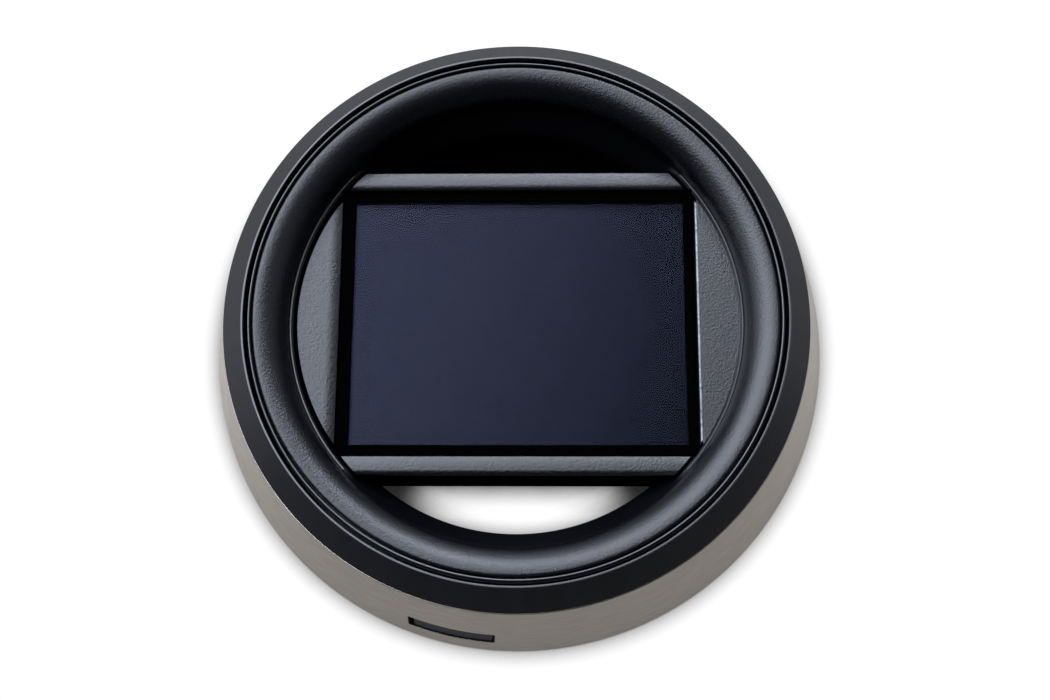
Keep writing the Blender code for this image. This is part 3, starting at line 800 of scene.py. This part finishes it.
# ------------------------------------------------------------------ rim: band, bezel, trim
def make_band():
    profile = rounded([
        (BASE_RADIUS, BAND_BOTTOM_Z, 0.3),
        (BAND_TOP_RADIUS, BAND_TOP_Z, 0.12),
        (BAND_TOP_RADIUS - BAND_WALL, BAND_TOP_Z, 0.2),
        (BASE_RADIUS - BAND_WALL, BAND_BOTTOM_Z, 0.2),
    ])
    band = new_object("band_shell", turned(profile))
    slot = rectangle((-SLOT_HALF_WIDTH, SLOT_HALF_WIDTH), SLOT_Z, 0.25)
    data = rectangle((-4.8, 4.8), (DATA_Z - 1.9, DATA_Z + 1.9), 1.5, 8)
    power = arc(POWER_MOUTH_RADIUS, 0, 360 - 7.5, 47, (0.0, POWER_Z))
    carve(band, [
        band_opening(slot, SLOT_ANGLE, 0.04),
        band_opening(data, DATA_ANGLE, 0.12),
        band_opening(power, POWER_ANGLE, 0.12),
    ])
    piece(band, "band_metal", "outer_band")
    band.modifiers.clear()
    set_cone_normals(band)


def set_cone_normals(band):
    """Exact normals on the flared outside, so that the cut faces shade as one surface."""
    mesh = band.data
    slope = math.atan2(BASE_RADIUS - BAND_TOP_RADIUS, BAND_TOP_Z - BAND_BOTTOM_Z)

    def cone_normal(place):
        flat = Vector((place.x, place.y, 0)).normalized()
        return flat * math.cos(slope) + Vector((0, 0, math.sin(slope)))

    normals = [Vector(corner.vector) for corner in mesh.corner_normals]
    for polygon in mesh.polygons:
        if polygon.normal.angle(cone_normal(polygon.center)) < math.radians(1.5):
            for loop_index in polygon.loop_indices:
                vertex = mesh.vertices[mesh.loops[loop_index].vertex_index]
                normals[loop_index] = cone_normal(vertex.co)
    mesh.normals_split_custom_set(normals)


def make_bezel():
    """Chamfered ring, and its front edge as a narrow polished line."""
    edge_width = 0.06
    fall = (FRONT_Z - BEZEL_LOW_Z) / (BEZEL_RADIUS - BEZEL_EDGE_RADIUS)
    seam = BEZEL_EDGE_RADIUS + edge_width
    seam_z = FRONT_Z - edge_width * fall
    under_z = seam_z - 0.25
    ring = rounded([
        (BEZEL_RADIUS, BEZEL_LOW_Z, 0.12),
        (seam, seam_z),
        (seam, under_z),
        (BEZEL_INNER_RADIUS, under_z),
        (BEZEL_INNER_RADIUS, SKIRT_Z, 0.1),
        (BEZEL_SKIRT_RADIUS, SKIRT_Z, 0.1),
        (BEZEL_SKIRT_RADIUS, BEZEL_LOW_Z),
    ])
    piece(new_object("bezel_ring", turned(ring)), "black_anodised", "front_bezel")
    edge = rounded([
        (seam, seam_z),
        (BEZEL_EDGE_RADIUS, FRONT_Z, 0.06),
        (BEZEL_INNER_RADIUS, FRONT_Z, 0.06),
        (BEZEL_INNER_RADIUS, under_z),
        (seam, under_z),
    ])
    piece(new_object("bezel_edge", turned(edge)), "polished_black", "front_bezel")


def make_trim():
    """Thin ring with a raised inner ridge and a deep groove against the bezel."""
    ridge = TRIM_INNER_RADIUS + 0.33
    profile = rounded([
        (TRIM_RADIUS, TRIM_LOW_Z, 0.05),
        (TRIM_RADIUS, TRIM_TOP_Z - 1.0, 0.05),
        (ridge, TRIM_TOP_Z - 0.9, 0.12),
        (ridge, TRIM_TOP_Z, 0.16),
        (TRIM_INNER_RADIUS, TRIM_TOP_Z, 0.16),
        (TRIM_INNER_RADIUS, TRIM_LOW_Z, 0.05),
    ])
    piece(new_object("trim_ridge", turned(profile)), "polished_black", "trim_ring")


# ------------------------------------------------------------------ housing
# Below the lip's foot, as (radius, z): a small lit ledge beside the bridge, and elsewhere a
# slope that runs into the neck. Both have the same number of points.
LEDGE = [(29.75, 13.98), (29.66, 13.88), (29.36, 13.70), (29.28, 13.60), (29.26, 13.3),
         (29.22, 12.3), (29.2, 11.4), (29.18, 11.0), (28.2, 10.9), (27.7, 10.4)]
SLOPE = [(29.72, 13.7), (29.62, 13.4), (29.45, 13.0), (29.2, 12.5), (28.95, 12.0),
         (28.6, 11.3), (28.3, 10.8), (28.05, 10.4), (27.85, 10.0), (27.7, 9.7)]


def smooth_step(value, start, end):
    share = min(1.0, max(0.0, (value - start) / (end - start)))
    return share * share * (3 - 2 * share)


def lip_curve():
    """Rolled lip from its outer edge over the crest down to its foot."""
    points = []
    edge_drop = 0.4
    for i in range(8):
        roll = math.radians(90 * (1 - i / 8))
        points.append((LIP_CREST_RADIUS + (LIP_EDGE_RADIUS - LIP_CREST_RADIUS) * math.sin(roll),
                       LIP_Z - edge_drop * (1 - math.cos(roll))))
    for i in range(25):
        roll = math.radians(78 * i / 24)
        points.append((LIP_CREST_RADIUS - LIP_ROLL * math.sin(roll),
                       LIP_Z - LIP_ROLL * (1 - math.cos(roll))))
    points.append(LIP_FOOT)
    return points


def housing_profile(angle):
    """Housing ring at an angle, with the ledge beside the bridge and the slope elsewhere."""
    y = abs(29.5 * math.sin(math.radians(angle)))
    beside = 1 - smooth_step(y, BRIDGE_HALF_Y - 0.2, BRIDGE_HALF_Y + 1.1)
    low = [(r0 + (r1 - r0) * beside, z0 + (z1 - z0) * beside)
           for (r0, z0), (r1, z1) in zip(SLOPE, LEDGE)]
    outer = NECK_RADIUS + BORE_WALL
    seat_radius = TRIM_RADIUS - 0.15
    back_side = [
        (NECK_RADIUS, NECK_Z),
        (NECK_RADIUS, HOUSING_LOW_Z + 0.2),
        (NECK_RADIUS + 0.2, HOUSING_LOW_Z),
        (outer, HOUSING_LOW_Z),
        (outer, FLANGE_BOTTOM_Z),
        (FLANGE_RADIUS, FLANGE_BOTTOM_Z),
        (FLANGE_RADIUS, FLANGE_TOP_Z),
        (seat_radius, FLANGE_TOP_Z),
        (seat_radius, SEAT_Z),
        (LIP_EDGE_RADIUS, SEAT_Z),
    ]
    return lip_curve() + low + back_side


def pocket_cutter(z_high):
    """The window's pocket, from its floor up."""
    return prism(box_outline(POCKET_HALF_X, POCKET_HALF_Y, 0.35), POCKET_FLOOR_Z, z_high)


def make_housing_ring():
    ring = new_object("housing_ring", swept(housing_profile, 360))
    carve(ring, [pocket_cutter(LIP_FOOT[1] + 0.1)])
    piece(ring, "satin_black", "front_housing", sharp=28)


def slab_outline(radius, half_y, steps=40):
    corner = math.degrees(math.asin(half_y / radius))
    return (arc(radius, -corner, corner, steps)
            + arc(radius, 180 - corner, 180 + corner, steps))


def vent_cutter(middle):
    """Opening through the bridge's lower side wall, flared outwards."""
    mouth = rectangle((-VENT_WIDTH / 2, VENT_WIDTH / 2), VENT_Z, 0.5)
    wide = inset(mouth, -0.25)
    return loft([[(middle + x, y, z) for x, z in outline]
                 for outline, y in ((mouth, -16.0), (mouth, 0.1 - BRIDGE_HALF_Y),
                                    (wide, -0.15 - BRIDGE_HALF_Y))])


def make_bridge_body():
    """The block across the bore, below its top bars and wings."""
    low_edge = 0.2
    outline = slab_outline(BRIDGE_BODY_RADIUS, BRIDGE_HALF_Y)
    body = new_object("bridge_body", loft(at_heights([
        (inset(outline, low_edge), HOUSING_LOW_Z), (outline, HOUSING_LOW_Z + low_edge),
        (outline, BRIDGE_SEAM_Z)])))
    cutters = [
        pocket_cutter(FRONT_Z),
        prism(box_outline(*STACK_HALF, 0.4), 0, POCKET_FLOOR_Z + 1),
        prism(box_outline(*SIDE_POCKET_HALF, 1.2), 0, SIDE_POCKET_TOP_Z),
    ]
    for side in (-1, 1):
        for first in VENT_PLACES:
            cutters.append(vent_cutter(side * (first + VENT_WIDTH / 2)))
    carve(body, cutters)
    piece(body, "black_flock", "front_housing")


def bore_slab(stations, lengthwise_x, radius=BAR_END_RADIUS):
    """Slab cut off along the ring; each station is a place across it and the height there."""
    rings = []
    for place, top in stations:
        reach = math.sqrt(radius ** 2 - place ** 2)
        edge = min(0.2, 0.4 * reach)
        section = [(-reach, BRIDGE_SEAM_Z), (reach, BRIDGE_SEAM_Z), (reach, top - edge),
                   (reach - edge, top), (edge - reach, top), (-reach, top - edge)]
        if lengthwise_x:
            rings.append([(along, place, z) for along, z in section])
        else:
            rings.append([(place, along, z) for along, z in section])
    return loft(rings)


def roll_off(start, outward_sign, reach, tilt, steps=8):
    """Stations of a rim that tilts over by an angle, from its flat side to the very edge."""
    stations = []
    radius = reach / math.sin(math.radians(tilt))
    for i in range(steps + 1):
        turn = math.radians(tilt * i / steps)
        stations.append((start + outward_sign * radius * math.sin(turn),
                         BRIDGE_TOP_Z - radius * (1 - math.cos(turn))))
    return stations


def make_bars():
    """Bars above and below the window, rolled towards the front and sharp towards the back."""
    for name, y_low, y_high, front_roll in (
            ("bar_upper", POCKET_HALF_Y, BRIDGE_HALF_Y, 0.8),
            ("bar_lower", -BRIDGE_HALF_Y, -POCKET_HALF_Y, 0.7)):
        front = roll_off(y_low + front_roll, -1, front_roll, 38)
        back = roll_off(y_high - 1.4, 1, 1.25, 12, 6)
        rim = roll_off(y_high - 0.15, 1, 0.15, 60, 4)
        drop = BRIDGE_TOP_Z - back[-1][1]
        rim = [(place, z - drop) for place, z in rim[1:]]
        bar = bore_slab(list(reversed(front)) + back + rim, True)
        piece(new_object(name, bar), "satin_bridge", "front_housing")


def make_wing(name, side, stations):
    """Flat segment beside the window, carried on from its first stations to the ring."""
    radius = WING_END_RADII[name]
    start = stations[-1][0]
    for i in range(1, 25):
        share = math.sin(math.radians(89.0 * i / 24))
        stations.append((start + (radius - 0.01 - start) * share, BRIDGE_TOP_Z))
    bm = bore_slab([(side * place, z) for place, z in stations], False, radius)
    piece(new_object(f"wing_{name}", bm), "satin_bridge", "front_housing")


def make_wings():
    """Wings left and right of the window; a lighter metal strip on the right one's edge is a painted
    highlight.
    """
    edge = POCKET_HALF_X + WING_SHIFT
    make_wing("right", 1, [(POCKET_HALF_X + (WING_EDGE + WING_SHIFT), BRIDGE_TOP_Z)])
    left_edge = POCKET_HALF_X - 0.1
    left_roll = roll_off(left_edge + 1.5, -1, 1.5, 26)
    make_wing("left", -1, list(reversed(left_roll)))
    # Lighter metal strip along the right wing's inner edge: a painted highlight where the light
    # glints.
    stations = [(edge + across, BRIDGE_TOP_Z - drop)
                for across, drop in ((0, 0.10), (0.04, 0.03), (0.09, 0), (WING_EDGE, 0))]
    line = new_object("wing_edge", bore_slab(stations, False))
    piece(line, "painted_highlight_strip", "front_housing")


def make_foot_edges():
    """Narrow rounded step at the foot of the lip, along each wing."""
    half = math.degrees(math.asin((BRIDGE_HALF_Y - 0.6) / FOOT_EDGE_RADIUS))
    top = LIP_FOOT[1] + 0.04
    section = [(-0.13, top - 0.5), (0.22, top - 0.5), (0.22, top - 0.12), (0.1, top),
               (-0.06, top), (-0.13, top - 0.08)]
    for name, middle in (("foot_edge_right", 0), ("foot_edge_left", 180)):
        rings = []
        for i in range(61):
            angle = middle - half + 2 * half * i / 60
            rings.append([polar(FOOT_EDGE_RADIUS + out, angle, z) for out, z in section])
        piece(new_object(name, loft(rings)), "polished_black", "front_housing")


def make_upper_floor():
    """Low floor that closes the bore above the bridge, with the screw posts of the rim."""
    end = math.degrees(math.acos(BRIDGE_HALF_Y / UPPER_FLOOR_RADIUS))
    outline = arc(UPPER_FLOOR_RADIUS, 90 - end, 90 + end, 40)
    floor = new_object("upper_floor", prism(outline, HOUSING_LOW_Z, UPPER_FLOOR_Z))
    piece(floor, "black_flock", "front_housing")
    post = [(1.6, HOUSING_LOW_Z), (1.6, FLANGE_BOTTOM_Z), (0.95, FLANGE_BOTTOM_Z),
            (0.95, HOUSING_LOW_Z)]
    posts = [moved_to(turned(post, 32), *polar(REAR_SCREW_RADIUS, angle)[:2])
             for angle in REAR_SCREW_ANGLES]
    piece(new_object("housing_posts", merge(posts)), "satin_black", "front_housing")


# ------------------------------------------------------------------ window and sensor
def make_window():
    outer = box_outline(MASK_HIGH.x, MASK_HIGH.y, 0.3)
    shift_x, shift_y = MASK_OPENING_SHIFT
    inner = [(x + shift_x, y + shift_y) for x, y in box_outline(*MASK_OPENING_HALF, 0.12)]
    mask = framed(outer, inner, low_mm("window_mask").z, MASK_HIGH.z, 0.03)
    piece(new_object("mask_frame", mask), "mask_black", "window_mask")
    glass = pillow(box_outline(GLASS_HIGH.x, GLASS_HIGH.y, 0.4), low_mm("window_glass").z,
                   GLASS_HIGH.z, 0.12, 3, low_edge=0.12)
    piece(new_object("glass_pane", glass), "window_glass", "window_glass")
    die = pillow(box_outline(DIE_HIGH.x, DIE_HIGH.y, 0.1), low_mm("sensor_die").z,
                 DIE_HIGH.z, 0.04, 2)
    piece(new_object("sensor_face", die), "sensor_silicon", "sensor_die")


# ------------------------------------------------------------------ rim slot and sockets
def make_tray():
    """Tray whose front flange follows the band, with an open bead pocket behind it."""
    low, high = TRAY_Z
    sides = (TRAY_SHIFT_Y - TRAY_HALF_WIDTH, TRAY_SHIFT_Y + TRAY_HALF_WIDTH)
    outline = divided(rectangle(sides, TRAY_Z, 0.25, 4))
    middle = (low + high) / 2
    taller = (SLOT_Z[1] - SLOT_Z[0] - 0.5) / (high - low)
    flange = [(side, middle + (z - middle) * taller) for side, z in outline]
    bm = loft([
        surface_ring(outline, SLOT_ANGLE, depth=31.2),
        surface_ring(outline, SLOT_ANGLE, -TRAY_RECESS - 1.2),
        surface_ring(flange, SLOT_ANGLE, -TRAY_RECESS - 1.1),
        surface_ring(flange, SLOT_ANGLE, -TRAY_RECESS - 0.12),
        surface_ring(inset(flange, 0.12), SLOT_ANGLE, -TRAY_RECESS),
    ])
    bmesh.ops.triangulate(bm, faces=[f for f in bm.faces if len(f.verts) > 4])
    tray = new_object("tray_body", bm)
    pocket_sides = (TRAY_SHIFT_Y - TRAY_POCKET_HALF, TRAY_SHIFT_Y + TRAY_POCKET_HALF)
    carve(tray, [turned_by(block((32.0, 38.2), pocket_sides, (4.8, 9.0)), SLOT_ANGLE)])
    piece(tray, "black_plastic", "desiccant_tray", body=TRAY)


def make_guide():
    """Channel of the tray; its sleeve lines the slot and ends just under the band's surface."""
    low, high = SLOT_Z
    body = block(GUIDE_RADII, (-GUIDE_HALF_WIDTH, GUIDE_HALF_WIDTH), (low - 0.25, high + 0.2))
    way = block((30.6, 45.0), (-GUIDE_WAY_HALF, GUIDE_WAY_HALF), (low + 0.25, high - 0.25))
    channel = carve(new_object("guide_channel", turned_by(body, SLOT_ANGLE)),
                    [turned_by(way, SLOT_ANGLE)])
    piece(channel, "black_plastic", "tray_guide")
    gap = 0.03
    half = SLOT_HALF_WIDTH - gap
    outer = divided(rectangle((-half, half), (low + gap, high - gap), 0.22))
    inner = inset(outer, 0.16)
    sleeve = closed_loft([
        surface_ring(outer, SLOT_ANGLE, depth=37.95),
        surface_ring(outer, SLOT_ANGLE, -0.05),
        surface_ring(inner, SLOT_ANGLE, -0.08),
        surface_ring(inner, SLOT_ANGLE, depth=37.95),
    ])
    piece(new_object("guide_sleeve", sleeve), "guide_black", "tray_guide")


def socket_part(levels):
    """Loft of (outline, distance from the axis) pairs, laid at the data socket's place."""
    rings = [[(out, side, DATA_Z + z) for side, z in outline] for outline, out in levels]
    return turned_by(loft(rings), DATA_ANGLE)


def make_data_socket():
    """Nickel shell with a flared mouth, and the tongue inside it."""
    outer = rectangle((-4.5, 4.5), (-1.6, 1.6), 1.45, 8)
    mouth = inset(outer, 0.35)
    shell = socket_part([(outer, 33.0), (outer, 40.05), (inset(outer, 0.08), 40.2),
                         (inset(outer, 0.2), 40.2), (mouth, 39.95), (mouth, 34.2)])
    outline = rectangle((-3.35, 3.35), (-0.3, 0.3), 0.12, 3)
    tongue = socket_part([(outline, 34.1), (outline, 39.2), (inset(outline, 0.12), 39.4)])
    piece(new_object("data_shell", shell), "socket_nickel", "data_socket")
    piece(new_object("data_tongue", tongue), "black_plastic", "data_socket")


def make_power_socket():
    """Black barrel, and the seat and pin inside it; profiles are (radius, distance from the axis)."""
    barrel = turned(rounded([(3.3, 31.4, 0.1), (3.3, 39.9, 0.15), (2.8, 39.9, 0.1),
                             (2.8, 32.6, 0.1)]), 64)
    piece(new_object("power_barrel", outward(barrel, POWER_ANGLE, POWER_Z)),
          "black_plastic", "power_socket")
    seat = turned(rounded([(2.75, 32.0), (2.75, 33.4, 0.1), (0.02, 33.4), (0.02, 32.0)]), 64)
    pin = turned(rounded([(1.0, 33.0), (1.0, 38.9, 0.45), (0.02, 38.9), (0.02, 33.0)]), 48)
    piece(new_object("power_pin", outward(merge([seat, pin]), POWER_ANGLE, POWER_Z)),
          "socket_nickel", "power_socket")


# ------------------------------------------------------------------ back
def solid_turned(profile, steps):
    """Turned solid whose profile starts and ends on the axis."""
    bm = turned([(max(radius, 1e-4), z) for radius, z in profile], steps)
    bmesh.ops.remove_doubles(bm, verts=bm.verts, dist=5e-4)
    return bm


def make_rear_cover():
    groove_in = FOOT_INNER_RADIUS - 0.3
    groove_out = FOOT_HIGH.x + 0.3
    groove_top = FOOT_HIGH.z + 0.3
    profile = rounded([
        (COVER_HIGH.x, COVER_HIGH.z, 0.1),
        (COVER_HIGH.x, COVER_LOW.z, 0.25),
        (groove_out, COVER_LOW.z, 0.08),
        (groove_out, groove_top, 0.1),
        (groove_in, groove_top, 0.1),
        (groove_in, COVER_LOW.z, 0.08),
        (COVER_INNER_RADIUS, COVER_LOW.z, 0.3),
        (COVER_INNER_RADIUS, COVER_HIGH.z, 0.1),
    ])
    cover = new_object("back_plate", turned(profile))
    stepped = [(0.0, 5), (1.0, 5), (1.0, 1.75), (1.65, 1.75), (1.65, 0.85), (1.95, 0.55),
               (1.95, 0.0), (0.0, 0)]
    holes = [moved_to(solid_turned(stepped, 40), *polar(REAR_SCREW_RADIUS, angle)[:2])
             for angle in REAR_SCREW_ANGLES]
    carve(cover, [merge(holes)])
    piece(cover, "black_anodised", "rear_cover")

    ribbed = [(FOOT_HIGH.x, FOOT_HIGH.z, 0.1), (FOOT_HIGH.x, FOOT_LOW.z, 0.3)]
    for i in range(3):
        middle = FOOT_HIGH.x - 0.55 - 0.45 * i
        ribbed += [(middle + 0.1, FOOT_LOW.z, 0.04), (middle, FOOT_LOW.z + 0.14, 0.04),
                   (middle - 0.1, FOOT_LOW.z, 0.04)]
    ribbed += [(FOOT_INNER_RADIUS, FOOT_LOW.z, 0.3), (FOOT_INNER_RADIUS, FOOT_HIGH.z, 0.1)]
    piece(new_object("foot_band", turned(rounded(ribbed, 3))), "black_rubber", "foot_ring")


def grille_slot(radius, middle, half_span, half_width):
    """Round-ended slot along an arc, flared towards the back."""
    end = math.degrees(half_width / radius)
    first = middle - half_span + end
    last = middle + half_span - end

    def outline(reach):
        points = arc(radius + reach, first, last, 30)
        points += arc(reach, last, last + 180, 10, polar(radius, last)[:2])[1:-1]
        points += arc(radius - reach, last, first, 30)
        points += arc(reach, first + 180, first + 360, 10, polar(radius, first)[:2])[1:-1]
        return points

    true = outline(half_width)
    return loft(at_heights([(outline(half_width + 0.35), GRILLE_LOW_Z - 0.2),
                            (true, GRILLE_LOW_Z + 0.15), (true, GRILLE_HIGH_Z + 0.5)]))


def make_bridge_cover():
    outline = slab_outline(GRILLE_RADIUS, BRIDGE_HALF_Y - 0.2)
    cover = new_object("grille_plate",
                       pillow(outline, GRILLE_LOW_Z, GRILLE_HIGH_Z, 0.1, 2, low_edge=0.18))
    cutters = []
    half_width = 0.95
    for inner in (5.6, 8.3, 11.0):
        for quarter in range(4):
            cutters.append(grille_slot(inner + half_width, 90 * quarter + 45, 39.0, half_width))
    stepped = [(0, 5), (0.85, 5), (0.85, 2.1), (1.15, 1.8), (1.15, 0), (0, 0)]
    cutters += [moved_to(solid_turned(stepped, 40), x, y) for x, y in BRIDGE_SCREW_XY]
    carve(cover, cutters)
    piece(cover, "black_anodised", "bridge_cover")


def bolt_mesh(head_radius, head, socket_radius, shank_radius, length):
    """Cap screw with a six-sided socket; head face at z = 0, shank towards +Z."""
    profile = rounded([
        (1e-4, length),
        (shank_radius, length, 0.15),
        (shank_radius, head),
        (head_radius, head, 0.05),
        (head_radius, 0, 0.16),
        (1e-4, 0),
    ], 4)
    bolt = new_object("bolt", solid_turned(profile, 48))
    socket = arc(socket_radius, 0, 300, 5)
    wide = arc(socket_radius + 0.12, 0, 300, 5)
    return carve(bolt, [loft(at_heights([(wide, -0.1), (socket, 0.06), (socket, head * 0.75)]))])


def make_bolts():
    groups = [
        ("back_bolt", "rear_screw", bolt_mesh(1.35, 0.75, 0.62, 0.75, 6.6),
         [polar(REAR_SCREW_RADIUS, angle, 0.85) for angle in REAR_SCREW_ANGLES]),
        ("grille_bolt", "bridge_cover_screw", bolt_mesh(1.1, 0.6, 0.5, 0.62, 4.6),
         [(x, y, 1.15) for x, y in BRIDGE_SCREW_XY]),
    ]
    for name, node, master, places in groups:
        for number, place in enumerate(places, start=1):
            bolt = bpy.data.objects.new(f"{name}_{number}", master.data.copy())
            bpy.context.scene.collection.objects.link(bolt)
            bolt.location = Vector(place) * MM
            bolt.rotation_euler.z = math.radians(37.0 * number)
            piece(bolt, "screw_steel", f"{node}_{number}")
        bpy.data.objects.remove(master)


def blade(number):
    """Swept, twisted blade with a cambered oval section."""
    middle = sum(FAN_Z) / 2
    chord = 1.0
    sections = []
    for i in range(9):
        share = i / 8
        radius = FAN_HUB_RADIUS - 0.3 + (FAN_RADIUS - FAN_HUB_RADIUS + 0.2) * share
        pitch = math.radians(44 - 14 * share)
        turn = 14.0 * share * share + 360.0 * number / FAN_BLADES
        thick = 0.16 - 0.04 * share
        section = []
        for k in range(12):
            around = math.tau * k / 12
            along = chord * math.cos(around)
            off = thick * math.sin(around) + 0.12 * (1 - (along / chord) ** 2)
            side = along * math.cos(pitch) - off * math.sin(pitch)
            up = along * math.sin(pitch) + off * math.cos(pitch)
            section.append(polar(radius, math.degrees(side / radius) + turn, middle + up * 0.98))
        sections.append(section)
    return loft(sections)


def make_fan():
    """Rotor with a hollow hub and blades."""
    low, high = FAN_Z
    bore = 4.3
    roof_z = high - 0.4
    hub = solid_turned(rounded([
        (0, high),
        (FAN_HUB_RADIUS, high, 0.3),
        (FAN_HUB_RADIUS, low, 0.15),
        (bore, low, 0.1),
        (bore, roof_z),
        (0, roof_z),
    ], 4), 64)
    rotor = new_object("rotor", merge([hub] + [blade(number) for number in range(FAN_BLADES)]))
    piece(rotor, "black_plastic", "fan_rotor", body=FAN)


# ------------------------------------------------------------------ CAD pieces kept as they are
KEPT = {
    "black_rubber": ["bezel_seal", "rear_seal", "window_seal"],
    "ceramic": ["sensor_package", "peltier_cooler"],
    "circuit_board": ["sensor_board", "main_board"],
    "chip_black": ["image_processor", "frame_memory", "cooler_driver"],
    "copper": ["cold_plate", "fan_stator"],
    "flex_orange": ["sensor_flex"],
    "cast_alloy": ["heat_sink"],
    "desiccant_beads": ["desiccant_pack"],
    "screw_steel": [f"heat_sink_screw_{i}" for i in range(1, 5)]
                   + [f"board_screw_{i}" for i in range(1, 4)],
}


def finish_kept_nodes():
    for finish, names in KEPT.items():
        for name in names:
            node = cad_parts[name]
            for slot in node.material_slots:
                slot.material = FINISHES[finish]


make_camera()
make_world()
make_floor()
bpy.context.scene.view_settings.view_transform = "Standard"

make_band()
make_bezel()
make_trim()
make_housing_ring()
make_bridge_body()
make_bars()
make_wings()
make_foot_edges()
make_upper_floor()
make_window()
make_tray()
make_guide()
make_data_socket()
make_power_socket()
make_rear_cover()
make_bridge_cover()
make_bolts()
make_fan()
finish_kept_nodes()
